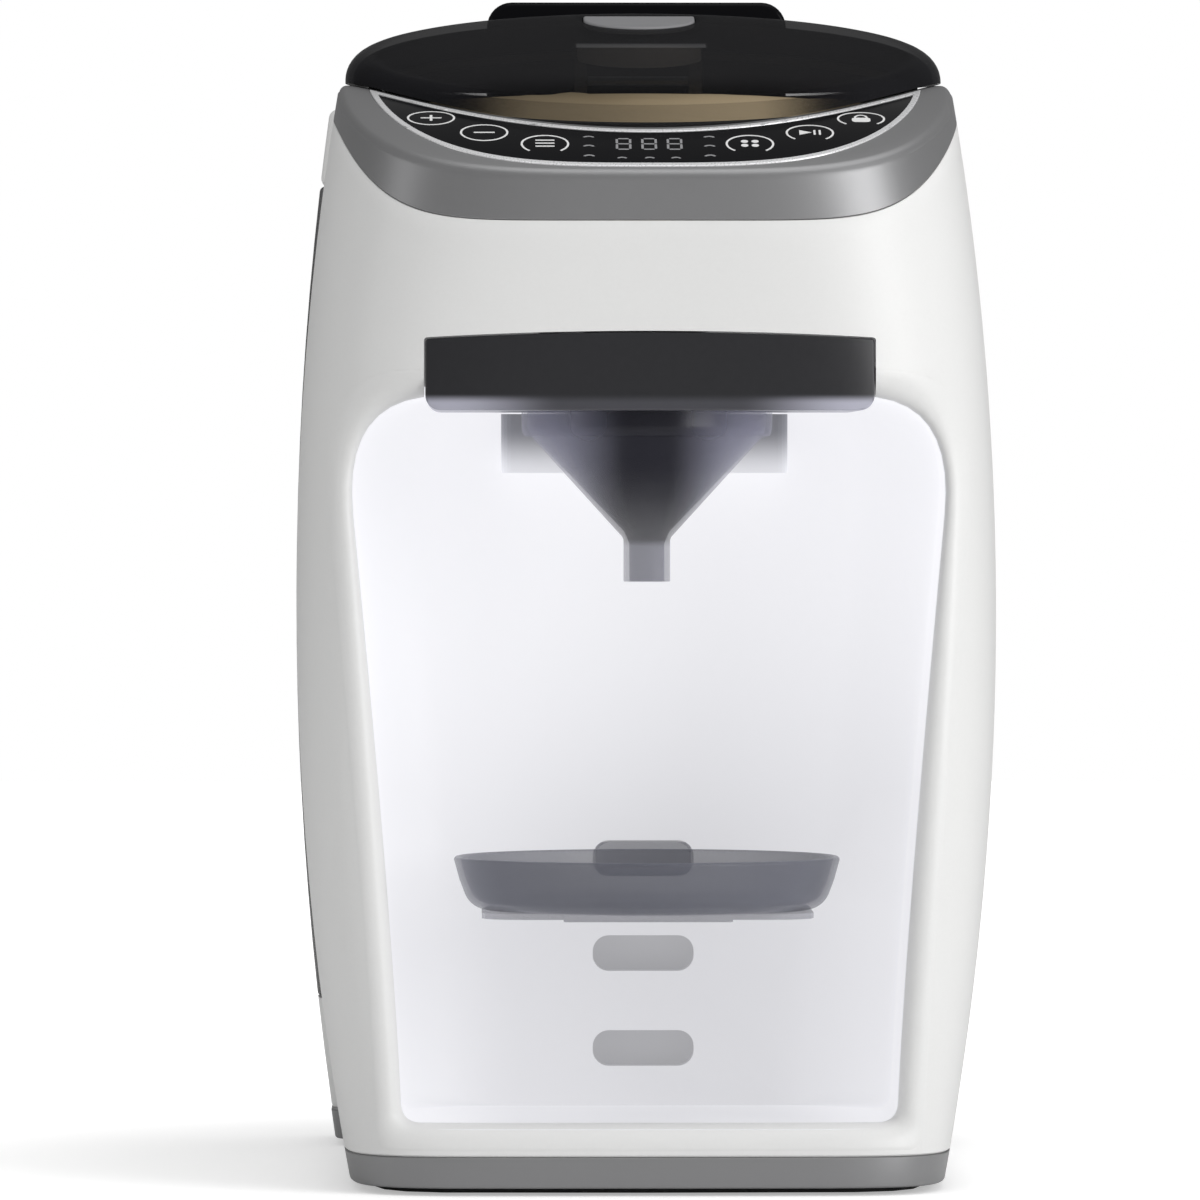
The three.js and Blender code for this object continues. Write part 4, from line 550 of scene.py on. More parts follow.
def make_handle():
    h = HANDLE
    inner = h["half"] - h["leg"]
    outline = rounded(-h["half"], h["half"], h["low"], h["top"], h["foot"], h["round"])
    arch = prism("black_tank_handle", outline, "Y", h["front"], h["rear"])
    gap = rounded(-inner, inner, h["low"] - OVERRUN, h["top"] - h["bar"], h["foot"], h["round"] / 2)
    arch = cut(arch, prism("fingers", gap, "Y", h["front"] - OVERRUN, h["rear"] + OVERRUN))
    finish(soften(arch, h["soft"], 5, 50), "tank_lid", "panel_black", "tank_handle")


# Lid, container and the powder in it

def above_slope(name, height, tilt):
    """Everything over a plane that rises to the rear, at a height above the centre."""
    far = OVERRUN * 20
    near, rear = CENTRE_Y - LID["radius"] - OVERRUN, CENTRE_Y + LID["radius"] + OVERRUN

    def z(y):
        return height + tilt * (y - CENTRE_Y)
    outline = [(near, z(near)), (rear, z(rear)), (rear, z(rear) + far), (near, z(rear) + far)]
    return prism(name, outline, "X", -far, far)


def lid_form(name, inset, low):
    radius, edge = LID["radius"] - inset, LID["round"] - inset

    def ring(r, drop):
        points = []
        for a in round_angles():
            y = CENTRE_Y + r * math.sin(a)
            height = low if drop is None else LID["top"] - inset + LID["tilt"] * (y - CENTRE_Y) - drop
            points.append((r * math.cos(a), y, height))
        return points
    rounding = [ring(radius - inwards, down) for down, inwards in edge_round(edge, 10)]
    return loft(name, [ring(radius, None), *rounding, ring(radius / 2, 0)])


def button_outline(outset):
    radius = BUTTON["half"] + outset
    return [(radius, BUTTON["rear"] + outset), (-radius, BUTTON["rear"] + outset)] + arc(
        0, BUTTON["front"] + BUTTON["half"], radius, 180, 360, 40)


def knuckle(back, x0, x1):
    """Part of the lid's hinge, with a root that reaches forward to a depth."""
    y, z, radius = HINGE["y"], HINGE["z"], HINGE["knuckle"]
    outline = arc(y, z, radius, -90, 90, 16) + [(back, z + radius), (back, z - radius)]
    return prism("knuckle", outline, "X", min(x0, x1), max(x0, x1))


def slanted(name, outline, low, high, low_tilt=LID["tilt"]):
    """A plan outline between two sloping levels."""
    form = prism(name, outline, "Z", BAND["edge"], LID["top"] + OVERRUN * 10)
    return meet(cut(form, above_slope("over", high, LID["tilt"])), above_slope("under", low, low_tilt))


def ring_outline_solid(name, outer, inner, low, high):
    """A ring about the lid's centre between two sloping levels."""
    solid = slanted(name, circle(outer, 0, CENTRE_Y), low, high, TILT)
    return cut(solid, rod("ring_hole", inner, BAND["edge"] - OVERRUN, LID["top"] + OVERRUN * 20, 0, CENTRE_Y))


def make_lid():
    low = BAND["edge"]
    dome = cut(lid_form("smoked_lid", 0, low), lid_form("lid_inside", LID["wall"], low - OVERRUN))
    dome = cut(dome, under_deck("skirt", -LID["skirt"]))
    inside = LID["top"] - LID["wall"] / 2
    dome = join(dome, ring_outline_solid("lid_ring", LID["ring"], LID["ring"] - LID["ring_wall"],
                                         LID["seal_top"], inside))
    wall, gap = BUTTON["well_wall"], BUTTON["gap"]
    dome = join(dome, slanted("well", button_outline(gap + wall), LID["top"] - BUTTON["well"], inside))
    dome = cut(dome, slanted("well_cut", button_outline(gap), LID["top"] - BUTTON["well"] + BUTTON["floor"],
                             LID["top"] + OVERRUN))
    side = HINGE["half"] + HINGE["gap"]
    notch_y = CENTRE_Y + LID["radius"] - LID["wall"] * 3
    notch = [(-side, BAND["deck"]), (side, BAND["deck"]), (side, HINGE["notch"]), (-side, HINGE["notch"])]
    dome = cut(dome, prism("notch", notch, "Y", notch_y, HINGE["y"] + OVERRUN))
    root = HINGE["y"] - HINGE["knuckle"] * 2
    for end in (-1, 1):
        dome = join(dome, knuckle(root, end * side, end * (side + HINGE["width"])))
    finish(dome, "lid", "smoke_clear", "lid_dome", look="lid")
    cap = slanted("smoked_lid_button", button_outline(0), LID["top"] + BUTTON["proud"] - BUTTON["thick"],
                  LID["top"] + BUTTON["proud"])
    finish(soften(cap, BUTTON["soft"], 4, 50), "lid_button", "smoke_clear", "lid_button", look="button")


def make_seal():
    """Round gasket between the container's sloping rim and the lid."""
    low, outer = CONTAINER["rim"] + SEAL["gap"], CONTAINER["radius"] - SEAL["inset"]
    seal = rod("round_lid_seal", outer, BAND["edge"], LID["top"] + OVERRUN * 4, 0, CENTRE_Y, ROUND_STEPS)
    seal = cut(seal, above_slope("seal_over", low + SEAL["thick"], TILT),
               rod("seal_hole", outer - SEAL["wall"], 0, LID["top"] + OVERRUN * 5, 0, CENTRE_Y, ROUND_STEPS))
    finish(meet(seal, above_slope("seal_under", low, TILT)), "lid", "rubber_dark", "lid_seal")


def make_container():
    c, soft, hollow = CONTAINER, CONTAINER["low_round"], CONTAINER["floor_round"]
    top, inner = c["rim"] + c["rise"], c["radius"] - c["wall"]
    base, floor = c["floor"], c["floor"] + c["thick"]
    ring_inner, ring_low = c["ring"] - c["ring_wall"], c["ring_low"]
    profile = [(c["bore"], base), (ring_inner, base), (ring_inner, ring_low), (c["ring"], ring_low),
               (c["ring"], base), *arc(c["radius"] - soft, base + soft, soft, -90, 0, 6), (c["radius"], top),
               (inner, top), *arc(inner - hollow, floor + hollow, hollow, 0, -90, 6), (c["bore"], floor)]
    cup = turned("smoked_container", profile, 0, CENTRE_Y, ROUND_STEPS)
    cup = cut(cup, above_slope("rim_cut", c["rim"], TILT))
    cup = cut(cup, rod("outlet", c["outlet"], base - OVERRUN, floor + OVERRUN, 0, OUTLET_Y))
    cup = join(cup, knuckle(CENTRE_Y + inner + c["lap"], -HINGE["half"], HINGE["half"]))
    finish(cup, "container", "smoke_clear", "powder_container")


def mounds(x, y):
    """Uneven height of a poured heap: wide soft waves and finer ones."""
    wide = 0.7 * math.sin(x * 0.11 + 1) * math.cos(y * 0.13)
    return wide + 0.35 * math.sin(x * 0.31 + y * 0.27)


def make_powder():
    """A poured heap, higher at the rear, with small soft mounds inside its flat rim."""
    p, radius = POWDER, CONTAINER["radius"] - CONTAINER["wall"] - POWDER["gap"]
    rings = [[(x, y, p["low"]) for x, y in circle(radius, 0, CENTRE_Y, p["steps"])]]
    for k in range(p["rings"]):
        r = radius * (1 - k / p["rings"])
        ring = []
        for a in round_angles(p["steps"]):
            x, y = r * math.cos(a), r * math.sin(a)
            uneven = mounds(x, y) if k else 0
            ring.append((x, CENTRE_Y + y, p["top"] + p["slope"] * y + uneven))
        rings.append(ring)
    heap = loft("milk_powder", rings)
    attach(heap, "container")
    heap.data.materials.append(looks["powder"])


# Drawer, funnel, shroud, tray

def make_drawer():
    d = DRAWER
    half, low, high = d["half"] - d["wall"], d["low"] - OVERRUN, d["top"] + OVERRUN
    block = prism("smoked_drawer", drawer_outline(0), "Y", AHEAD, d["rear"])
    block = meet(block, body_form("skin", 0, low, high, 8))
    hollow = rounded(-half, half, d["low"] + d["wall"], high, d["inner_round"])
    space = prism("space", hollow, "Y", AHEAD, d["rear"] - d["wall"])
    space = meet(space, body_form("inner_skin", d["front_wall"], low, high + OVERRUN, 8))
    block = cut(block, space, rod("seat", d["seat"], low, d["top"], 0, OUTLET_Y))
    left, right, foot = DRAWER_NOTCH["left"], DRAWER_NOTCH["right"], DRAWER_NOTCH["low"]
    notch = [(left, foot), (right, foot), (right, high), (left, high)]
    block = cut(block, prism("notch", notch, "Y", d["rear"] - OVERRUN, d["rear"] + OVERRUN))
    finish(soften(block, d["soft"], 3, 50), "drawer", "smoke_clear", "funnel_drawer", look="drawer")


def make_funnel():
    f, wall, bend = FUNNEL, FUNNEL["wall"], FUNNEL["neck_round"]
    outer = [(f["spout"], f["low"]), *arc(f["spout"] + bend, f["neck_z"], bend, 180, 136, 5),
             (f["cone"], f["cone_z"]), *arc(f["bell"], f["bell_z"], f["bell_round"], -32, 0, 6),
             (f["rim"], f["rim_z"]), (f["rim"], f["flange_z"]), (f["flange"], f["flange_z"]),
             (f["flange"], f["top"])]
    rim, spout, i = f["rim"] - wall, f["spout"] - wall, FUNNEL_INSIDE
    inner = [(rim, f["top"]), (rim, i["rim_z"]), *arc(i["bell"], i["bell_z"], i["bell_round"], 0, -36, 6),
             (i["neck"] - wall / 2, i["neck_z"]), (spout, i["throat_z"]), (spout, f["low"])]
    cone = turned("smoked_funnel", outer + inner, 0, OUTLET_Y)
    finish(soften(cone, f["soft"], 2, 60), "drawer", "smoke_clear", "funnel_cone", look="funnel")


def make_tray():
    t, rim, top, floor, wall = TRAY, TRAY["rim"], TRAY["top"], TRAY["floor"], TRAY["wall"]
    foot, soft, shoulder = t["foot"], t["foot_round"], t["shoulder"]
    side = [(t["centre"], floor), (foot, floor), *arc(foot, floor + soft, soft, -90, -22, 8)[1:],
            (shoulder, t["shoulder_z"]), (rim, top - wall / 2)]
    lip = arc(rim - wall / 2, top - wall / 2, wall / 2, 0, 180, 8)
    inside = [(shoulder - wall, t["shoulder_z"]), *arc(foot, floor + soft, soft - wall, -22, -90, 8),
              (t["centre"], floor + wall)]
    tray = turned("smoked_tray", side + lip + inside, 0, OUTLET_Y)
    finish(tray, "tray", "smoke_clear", "bottle_tray", look="tray")


# Prints on the panel: thin raised marks that follow the deck

KEY_RADIUS = 7.0
STROKE = 0.62
DISPLAY = dict(y=-126, pitch=7.7, half=2, high=4.2, stroke=0.36)
LAMPS = dict(x=18.2, ys=(-121, -128.4, -135.8), row_y=-137.2, row_xs=(-8.3, 0, 7.9))
PRINT = dict(low=0.02, key=0.1, figure=0.08)
KEY_PLACES = {"plus": (-65.8, -102.2), "minus": (-49.7, -116.4), "bars": (-31.4, -126.1),
              "dots": (30.4, -126.0), "play": (48.8, -116.7), "lock": (64.8, -103.0)}


def bar(x, y, half, high):
    return rounded(x - half, x + half, y - high, y + high, min(half, high) * 0.6)


def strip(x, y, rx, ry, start, end, width=STROKE, steps=40):
    """A curved stroke of one width along part of an ellipse."""
    turns = [math.radians(turn) for turn in levels(start, end, steps)]
    outer = [(x + (rx + width / 2) * math.cos(t), y + (ry + width / 2) * math.sin(t)) for t in turns]
    inner = [(x + (rx - width / 2) * math.cos(t), y + (ry - width / 2) * math.sin(t)) for t in turns]
    return outer + inner[::-1]


def key_marks(name, x, y):
    """Symbol inside a key's ring, in plan, and the ring itself."""
    if name in ("plus", "minus"):
        ring = [strip(x, y, KEY_RADIUS, KEY_RADIUS, -90, 90), strip(x, y, KEY_RADIUS, KEY_RADIUS, 90, 270)]
    else:
        ring = [strip(x, y, KEY_RADIUS, KEY_RADIUS, -48, 228, steps=80)]
    marks = {
        "plus": [bar(x, y, 3.2, 0.4), bar(x, y, 0.4, 3)],
        "minus": [bar(x, y, 3.2, 0.4)],
        "bars": [bar(x, y + 0.6 + k * 2.4, 2.9, 0.36) for k in (-1, 0, 1)],
        "dots": [circle(1.1, x + i * 1.6, y + 0.4 + j * 1.6, 20) for i in (-1, 1) for j in (-1, 1)],
        "play": [[(x - 3.2, y - 1.6), (x + 0.4, y + 0.4), (x - 3.2, y + 2.4)], bar(x + 1.4, y + 0.4, 0.32, 2),
                 bar(x + 3, y + 0.4, 0.32, 2)],
        "lock": [bar(x, y - 1.1, 2.8, 2.1), strip(x, y + 1, 1.8, 2.9, 0, 180, 0.65, 16)],
    }[name]
    return ring + marks


def digit_marks(x, y):
    """The seven strokes of one figure of the display."""
    half, high, stroke = DISPLAY["half"], DISPLAY["high"], DISPLAY["stroke"]
    flat = [bar(x, y + k * high, half * 0.8, stroke) for k in (-1, 0, 1)]
    tall = [bar(x + i * half, y + j * high / 2, stroke, high * 0.4) for i in (-1, 1) for j in (-1, 1)]
    return flat + tall


def print_marks(name, outlines, lift, look):
    """One piece of several marks, each a thin plate that follows the deck."""
    points, faces = [], []
    for outline in outlines:
        start, count = len(points), len(outline)
        for height in (PRINT["low"], lift):
            points += [(x, y, deck_z(y) + height) for x, y in outline]
        faces.append(tuple(start + count + i for i in range(count)))
        faces.append(tuple(start + i for i in reversed(range(count))))
        faces += [(start + i, start + (i + 1) % count, start + count + (i + 1) % count, start + count + i)
                  for i in range(count)]
    piece = mesh_object(name, points, faces)
    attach(piece, "housing")
    piece.data.materials.append(looks[look])


def make_marks():
    for name, (x, y) in KEY_PLACES.items():
        print_marks("key_" + name, key_marks(name, x, y), PRINT["key"], "print_white")
    digits = [mark for k in (-1, 0, 1) for mark in digit_marks(k * DISPLAY["pitch"], DISPLAY["y"])]
    print_marks("display_figures", digits, PRINT["figure"], "figures")
    lamps = [strip(side * LAMPS["x"], y, 1.5, 1.2, 20, 160, 0.7, 12) for side in (-1, 1) for y in LAMPS["ys"]]
    lamps += [strip(x, LAMPS["row_y"], 1.3, 1.0, 20, 160, 0.6, 12) for x in LAMPS["row_xs"]]
    print_marks("lamp_marks", lamps, PRINT["figure"], "figures")


# Finishes

def set_inputs(node, values):
    for name, value in values.items():
        node.inputs[name].default_value = value


def principled(name, values):
    material = bpy.data.materials.new(name)
    material.use_nodes = True
    tree = material.node_tree
    shader = tree.nodes["Principled BSDF"]
    set_inputs(shader, values)
    return material, tree, shader


def position(tree):
    return tree.nodes.new("ShaderNodeTexCoord").outputs["Object"]


def maths(tree, operation, first, second=None):
    """One sum on two values; a value is a number or another node's output."""
    step = tree.nodes.new("ShaderNodeMath")
    step.operation = operation
    for socket, value in zip(step.inputs, (first, second)):
        if hasattr(value, "node"):
            tree.links.new(value, socket)
        elif value is not None:
            socket.default_value = value
    return step.outputs["Value"]


def rise(tree, value, start, end):
    """Goes softly from 0 to 1 as a distance goes from start to end, in millimetres."""
    share = tree.nodes.new("ShaderNodeMapRange")
    share.interpolation_type = "SMOOTHSTEP"
    set_inputs(share, {"From Min": start * MM, "From Max": end * MM})
    tree.links.new(value, share.inputs["Value"])
    return share.outputs["Result"]


def along(tree, axis, start, end, mirrored=False):
    """Rises from 0 to 1 between two places on an axis of the machine."""
    split = tree.nodes.new("ShaderNodeSeparateXYZ")
    tree.links.new(position(tree), split.inputs["Vector"])
    value = split.outputs[axis]
    if mirrored:
        value = maths(tree, "ABSOLUTE", value)
    return rise(tree, value, start, end)


def outward(tree, start, end):
    """Rises from 0 to 1 between two radii about the lid's centre."""
    flat = tree.nodes.new("ShaderNodeVectorMath")
    flat.operation = "MULTIPLY"
    flat.inputs[1].default_value = (1, 1, 0)
    tree.links.new(position(tree), flat.inputs[0])
    reach = tree.nodes.new("ShaderNodeVectorMath")
    reach.operation = "DISTANCE"
    reach.inputs[1].default_value = (0, CENTRE_Y * MM, 0)
    tree.links.new(flat.outputs["Vector"], reach.inputs[0])
    return rise(tree, reach.outputs["Value"], start, end)


def between(tree, share, low, high):
    """A value that goes from low to high with a share."""
    reach = tree.nodes.new("ShaderNodeMapRange")
    set_inputs(reach, {"To Min": low, "To Max": high})
    tree.links.new(share, reach.inputs["Value"])
    return reach.outputs["Result"]


def blend(tree, share, low, high):
    """A colour between two others; each is a colour or another node's output."""
    mix = tree.nodes.new("ShaderNodeMix")
    mix.data_type = "RGBA"
    tree.links.new(share, mix.inputs["Factor"])
    for socket, colour in ((mix.inputs["A"], low), (mix.inputs["B"], high)):
        if hasattr(colour, "node"):
            tree.links.new(colour, socket)
        else:
            socket.default_value = (*colour, 1)
    return mix.outputs["Result"]


def grain(tree, shader, scale, depth, rough, spread):
    """Fine moulded texture: a bump and a slight change of roughness from noise."""
    texture = tree.nodes.new("ShaderNodeTexNoise")
    set_inputs(texture, {"Scale": scale, "Detail": 4})
    tree.links.new(position(tree), texture.inputs["Vector"])
    noise = texture.outputs["Fac"]
    if depth:
        bump = tree.nodes.new("ShaderNodeBump")
        set_inputs(bump, {"Strength": depth, "Distance": 0.0002})
        tree.links.new(noise, bump.inputs["Height"])
        tree.links.new(bump.outputs["Normal"], shader.inputs["Normal"])
    level = between(tree, noise, max(0, rough - spread), rough + spread)
    tree.links.new(level, shader.inputs["Roughness"])
    return noise


def tinted(tree, shader, noise, colour, change):
    """Slight change of colour from the same noise."""
    darker = [c * (1 - change) for c in colour]
    lighter = [min(1, c * (1 + change)) for c in colour]
    tree.links.new(blend(tree, noise, darker, lighter), shader.inputs["Base Color"])


def plastic(name, colour, rough, scale=900, depth=0.05, metal=0, alpha=1, gloss=0.5):
    values = {"Metallic": metal, "Alpha": alpha, "Specular IOR Level": gloss}
    material, tree, shader = principled(name, values)
    noise = grain(tree, shader, scale, depth, rough, 0.04)
    tinted(tree, shader, noise, colour, 0.015)
    return material


def smoked(name, colour, rough, clear, dense, bend):
    """Smoked clear plastic, denser where the view grazes it."""
    material, tree, shader = principled(name, {"IOR": bend})
    noise = grain(tree, shader, 60, 0, rough, 0.02)
    tinted(tree, shader, noise, colour, 0.04)
    facing = tree.nodes.new("ShaderNodeLayerWeight")
    facing.inputs["Blend"].default_value = 0.5
    tree.links.new(between(tree, facing.outputs["Facing"], clear, dense), shader.inputs["Alpha"])
    return material


def lid_look():
    """Smoked lid, nearly black round its rim, clearer in front over the powder, paler in its well."""
    material, tree, shader = principled("smoked_lid_grey", {"IOR": 1.12, "Specular IOR Level": 0.02})
    noise = grain(tree, shader, 60, 0, 0.12, 0.02)
    plain = blend(tree, noise, (0.012, 0.012, 0.013), (0.015, 0.015, 0.017))
    half, front, top = LID_WELL["half"], LID_WELL["front"], LID_WELL["top"]
    well = maths(tree, "MULTIPLY", along(tree, "X", half + 1, half, True), along(tree, "Y", front - 2, front))
    well = maths(tree, "MULTIPLY", well, along(tree, "Z", top + 1, top))
    tree.links.new(blend(tree, well, plain, (0.42, 0.42, 0.43)), shader.inputs["Base Color"])
    window = maths(tree, "MULTIPLY", along(tree, "Y", LID_WINDOW["rear"], LID_WINDOW["front"]),
                   along(tree, "X", LID_WINDOW["fade"], LID_WINDOW["half"], True))
    rim = outward(tree, LID_RIM["start"], LID_RIM["end"])
    rim = maths(tree, "MULTIPLY", rim, between(tree, window, LID_ALPHA["rim"], 0))
    level = maths(tree, "MAXIMUM", between(tree, window, LID_ALPHA["plain"], LID_ALPHA["window"]), rim)
    tree.links.new(level, shader.inputs["Alpha"])
    return material


def liner_painted_glow():
    """White liner with painted light standing in for the light bar's flood: a glow painted in as emission,
    brightest above and at the sides, softer low at the back, and painted shade in the pockets.
    """
    material, tree, shader = principled("liner_painted_glow", {"Emission Color": COOL_LIGHT})
    noise = grain(tree, shader, 900, 0.04, 0.55, 0.04)
    tinted(tree, shader, noise, (0.34, 0.34, 0.352), 0.01)
    glow = LINER_PAINTED_GLOW
    # Painted light: emission rises with height and towards the sides
    height = along(tree, "Z", glow["low"], glow["high"])
    side = along(tree, "X", glow["middle"], glow["side"], True)
    share = maths(tree, "MAXIMUM", height, maths(tree, "MULTIPLY", side, glow["side_share"]))
    level = between(tree, share, glow["dim"], glow["bright"])
    # Painted shade: inside the pockets the painted glow drops to a share
    deep = along(tree, "Y", BAY["back"] + 1, BAY["back"] + 3)
    level = maths(tree, "MULTIPLY", level, between(tree, deep, 1, glow["pocket"]))
    tree.links.new(level, shader.inputs["Emission Strength"])
    return material


def funnel_look():
    """Smoked funnel: clearer at its flanks and in its spout, where the lit bay shows through, with painted
    light there as a pale blue base colour.
    """
    material, tree, shader = principled("smoked_funnel_blue", {"IOR": 1.35})
    grain(tree, shader, 60, 0, 0.25, 0.02)
    look, alpha = FUNNEL_LOOK, FUNNEL_ALPHA
    high = along(tree, "Z", look["low"], look["high"])
    flank = along(tree, "X", look["middle"], look["flank"], True)
    spout = along(tree, "Z", look["spout_start"], look["spout_end"])
    # Painted light: flanks and spout take a pale blue base colour for the bay's light behind them
    light = maths(tree, "MAXIMUM", flank, maths(tree, "MULTIPLY", spout, look["spout_share"]))
    colour = blend(tree, light, (0.026, 0.026, 0.036), (0.40, 0.40, 0.53))
    tree.links.new(colour, shader.inputs["Base Color"])
    dark = between(tree, high, alpha["low"], alpha["high"])
    level = maths(tree, "MULTIPLY", dark, between(tree, light, 1, alpha["lit"]))
    tree.links.new(level, shader.inputs["Alpha"])
    return material


def drawer_look():
    """Smoked drawer, nearly black, with the bay's light painted into its lower edge as a paler base colour.
    """
    material, tree, shader = principled("smoked_drawer_grey", {})
    noise = grain(tree, shader, 500, 0.05, 0.32, 0.03)
    place = DRAWER_PAINTED_EDGE_LIGHT
    # Painted light: a pale band along the lower edge, weaker towards the middle
    low = along(tree, "Z", DRAWER["low"] + place["start"], DRAWER["low"] + place["end"])
    side = along(tree, "X", place["middle"], place["side"], True)
    edge = maths(tree, "MULTIPLY", low, between(tree, side, place["share"], 1))
    body = blend(tree, noise, (0.019, 0.019, 0.022), (0.022, 0.022, 0.025))
    tree.links.new(blend(tree, edge, body, (0.44, 0.44, 0.52)), shader.inputs["Base Color"])
    return material


def shroud_look():
    """White block with a painted glow: grey at its top under the drawer as painted shade, lit at its foot as
    painted light.
    """
    material, tree, shader = principled("shroud_painted_glow", {"Emission Color": COOL_LIGHT})
    noise = grain(tree, shader, 900, 0.04, 0.5, 0.04)
    tinted(tree, shader, noise, (0.34, 0.345, 0.38), 0.01)
    glow = SHROUD_PAINTED_GLOW
    # Painted light and shade: emission rises from the top down to the foot
    foot = along(tree, "Z", glow["top"], glow["foot"])
    tree.links.new(between(tree, foot, glow["dim"], glow["bright"]), shader.inputs["Emission Strength"])
    return material


def powder_look():
    """Milk powder: warm, with fine grains, and painted light: emission that rises to the right lights it a
    little more there.
    """
    material, tree, shader = principled("milk_powder_grain", {"Emission Color": WARM_LIGHT})
    noise = grain(tree, shader, 2500, 1.0, 0.95, 0.03)
    tinted(tree, shader, noise, (0.56, 0.45, 0.29), 0.25)
    # Painted light: emission graded from left to right
    right = along(tree, "X", POWDER_PAINTED_LIGHT["left"], POWDER_PAINTED_LIGHT["right"])
    level = between(tree, right, POWDER_PAINTED_LIGHT["dim"], POWDER_PAINTED_LIGHT["bright"])
    tree.links.new(level, shader.inputs["Emission Strength"])
    return material


def make_looks():
    return {
        "shell_white": plastic("satin_white", (0.80, 0.80, 0.792), 0.42),
        "band_grey": plastic("satin_grey", (0.30, 0.30, 0.305), 0.42, depth=0.06, metal=0.6),
        "panel_black": plastic("gloss_black", (0.006, 0.006, 0.007), 0.12, 400, 0.02, gloss=0.04),
        "trim_silver": plastic("satin_silver", (0.86, 0.86, 0.87), 0.28, 1500, 0.05, metal=0.35),
        "smoke_clear": smoked("smoked_clear", SMOKE, 0.12, 0.30, 0.44, 1.12),
        "liner_white": liner_painted_glow(),
        "inner_white": plastic("white_moulding", (0.72, 0.72, 0.71), 0.5),
        "steel": plastic("plain_steel", (0.5, 0.51, 0.53), 0.35, 600, 0.1, metal=0.95),
        "rubber_dark": plastic("dark_rubber", (0.012, 0.012, 0.012), 0.75, 1200, 0.2),
        "board_green": plastic("coated_board", (0.04, 0.16, 0.07), 0.4, 500, 0.1),
        "hose_clear": plastic("silicone_hose", (0.7, 0.71, 0.73), 0.45, alpha=0.8),
        "drawer": drawer_look(),
        "funnel": funnel_look(),
        "shroud": shroud_look(),
        "lid": lid_look(),
        "tank": smoked("smoked_tank_grey", SMOKE, 0.12, 0.5, 0.85, 1.2),
        "tray": smoked("smoked_tray_blue", (0.15, 0.155, 0.19), 0.25, 0.40, 0.7, 1.3),
        # Paler copy of the tray's smoked blue: its lighter colour is painted light from the lit bay behind it
        "bracket": smoked("smoked_bracket_painted_paler", (0.36, 0.365, 0.41), 0.25, 0.36, 0.52, 1.3),
        "button": smoked("smoked_button_grey", (0.30, 0.30, 0.31), 0.3, 0.75, 0.85, 1.3),
        "powder": powder_look(),
        "print_white": plastic("key_print", (0.82, 0.82, 0.82), 0.5),
        "figures": plastic("display_print", (0.3, 0.3, 0.31), 0.5),
    }


def finish(obj, body, slot, *nodes, look=None):
    """Gives a piece the finish of its record slot or own look, puts it on its body and hides the frame nodes
    that it stands for.
    """
    obj.data.materials.clear()
    obj.data.materials.append(looks[look or slot])
    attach(obj, body)
    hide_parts(*nodes)


OWN_LOOKS = {"water_shroud": "shroud", "tray_bracket": "bracket"}


def dress_frame():
    """Gives every frame node that stays in view the finish of its record slot."""
    slots = {part["node"]: part["material_slot"] for part in frame["record"]["subparts"]}
    for name, node in frame["nodes"].items():
        node.data.materials.clear()
        node.data.materials.append(looks[OWN_LOOKS.get(name, slots[name])])


# Floor, backdrop, lights and camera

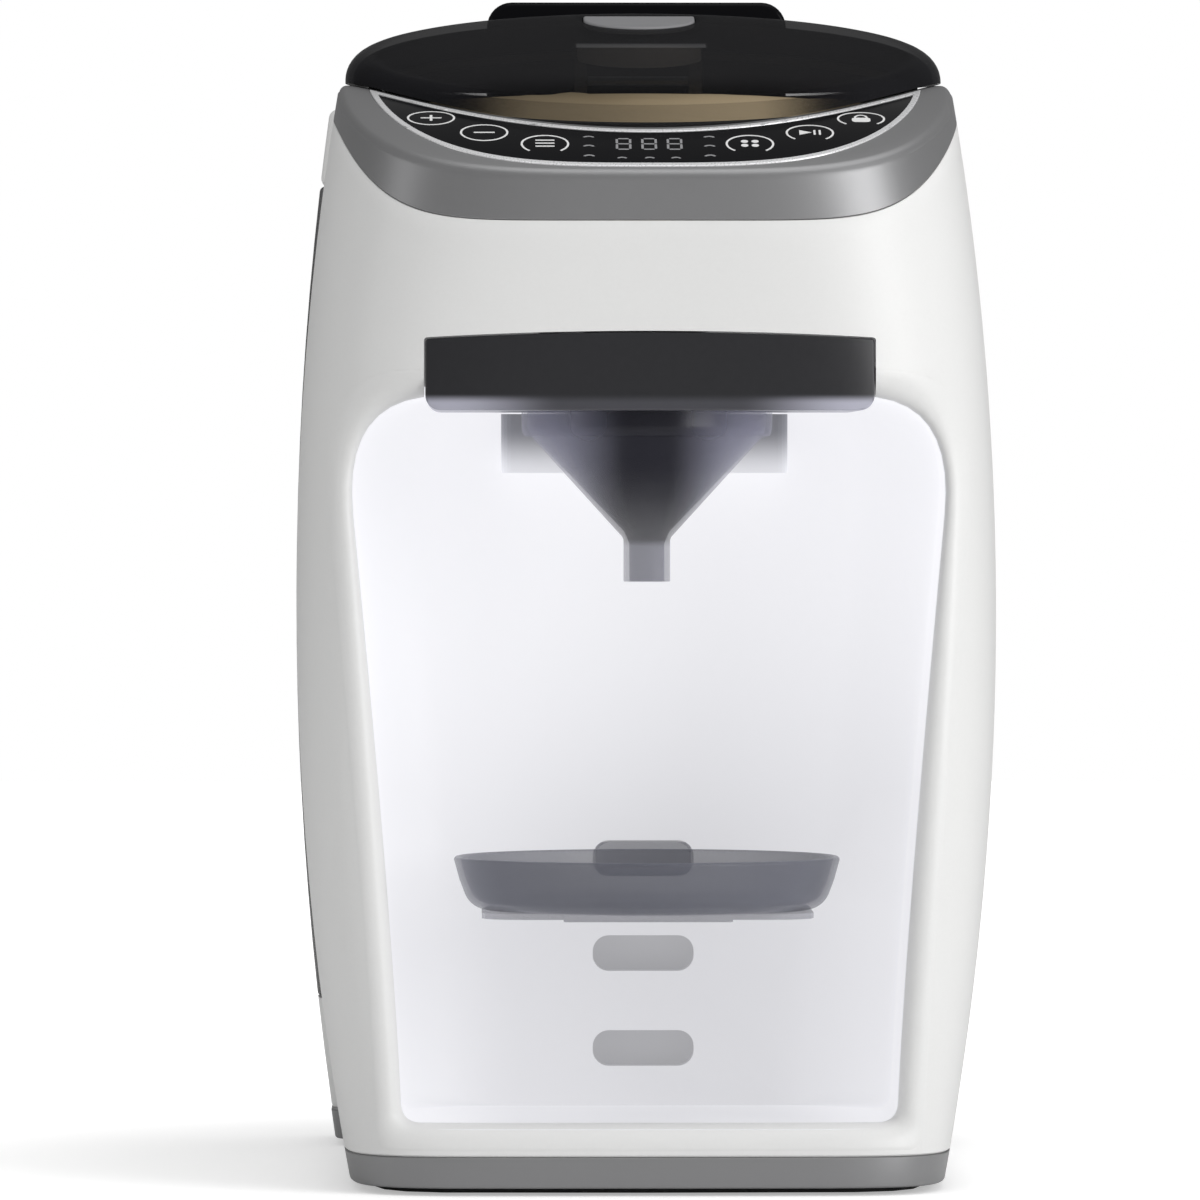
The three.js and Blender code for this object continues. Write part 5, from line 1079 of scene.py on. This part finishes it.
def make_stage():
    """White floor, glowing to the camera alone and less so near the machine, which keeps its shadow."""
    half, grey = FLOOR["half"], FLOOR["colour"]
    floor = mesh_object("floor", [(-half, -half, 0), (half, -half, 0), (half, half, 0), (-half, half, 0)],
                        [(0, 1, 2, 3)])
    values = {"Base Color": (grey, grey, grey, 1), "Roughness": FLOOR["rough"], "Specular IOR Level": 0,
              "Emission Color": (1, 1, 1, 1)}
    material, tree, shader = principled("pale_floor", values)
    reach = tree.nodes.new("ShaderNodeVectorMath")
    reach.operation = "LENGTH"
    tree.links.new(position(tree), reach.inputs[0])
    away = rise(tree, reach.outputs["Value"], FLOOR["near"], FLOOR["far"])
    rays = tree.nodes.new("ShaderNodeLightPath")
    level = maths(tree, "MULTIPLY", between(tree, away, FLOOR["near_glow"], 1),
                  rays.outputs["Is Camera Ray"])
    tree.links.new(level, shader.inputs["Emission Strength"])
    floor.data.materials.append(material)


def make_world():
    """White to the camera, softer as light, softest in reflections."""
    world = bpy.data.worlds.new("studio")
    bpy.context.scene.world = world
    world.use_nodes = True
    tree = world.node_tree
    ground = tree.nodes["Background"]
    rays = tree.nodes.new("ShaderNodeLightPath")
    seen = maths(tree, "MAXIMUM", rays.outputs["Is Camera Ray"], rays.outputs["Is Transmission Ray"])
    light = between(tree, rays.outputs["Is Glossy Ray"], WORLD["light"], WORLD["gloss"])
    tree.links.new(maths(tree, "MAXIMUM", seen, light), ground.inputs["Strength"])
    set_inputs(ground, {"Color": (1, 1, 1, 1)})


def area_light(name, place, aim, size, power):
    data = bpy.data.lights.new(name, "AREA")
    data.shape = "RECTANGLE"
    data.size, data.size_y = size
    data.energy = power
    lamp = placed(name, data)
    lamp.location = place
    lamp.rotation_euler = (Vector(aim) - Vector(place)).to_track_quat("-Z", "Y").to_euler()


def make_lights():
    for name, light in LIGHTS.items():
        area_light(name, **light)


def make_camera():
    """Level studio view from three metres, the photograph's angle."""
    data = bpy.data.cameras.new("camera")
    camera = placed("camera", data)
    camera.location = CAMERA["place"]
    data.sensor_width, data.lens = CAMERA["sensor"], CAMERA["lens"]
    data.clip_start, data.clip_end = CAMERA["near"], CAMERA["far"]
    aim = Vector(CAMERA["aim"]) - camera.location
    camera.rotation_euler = aim.to_track_quat("-Z", "Y").to_euler()
    bpy.context.scene.camera = camera


looks = make_looks()
dress_frame()
make_camera()
make_shells()
make_band()
make_liner()
make_base()
make_tank()
make_handle()
make_lid()
make_seal()
make_container()
make_powder()
make_drawer()
make_funnel()
make_tray()
make_marks()
make_stage()
make_world()
make_lights()
bpy.context.scene.view_settings.view_transform = "Standard"
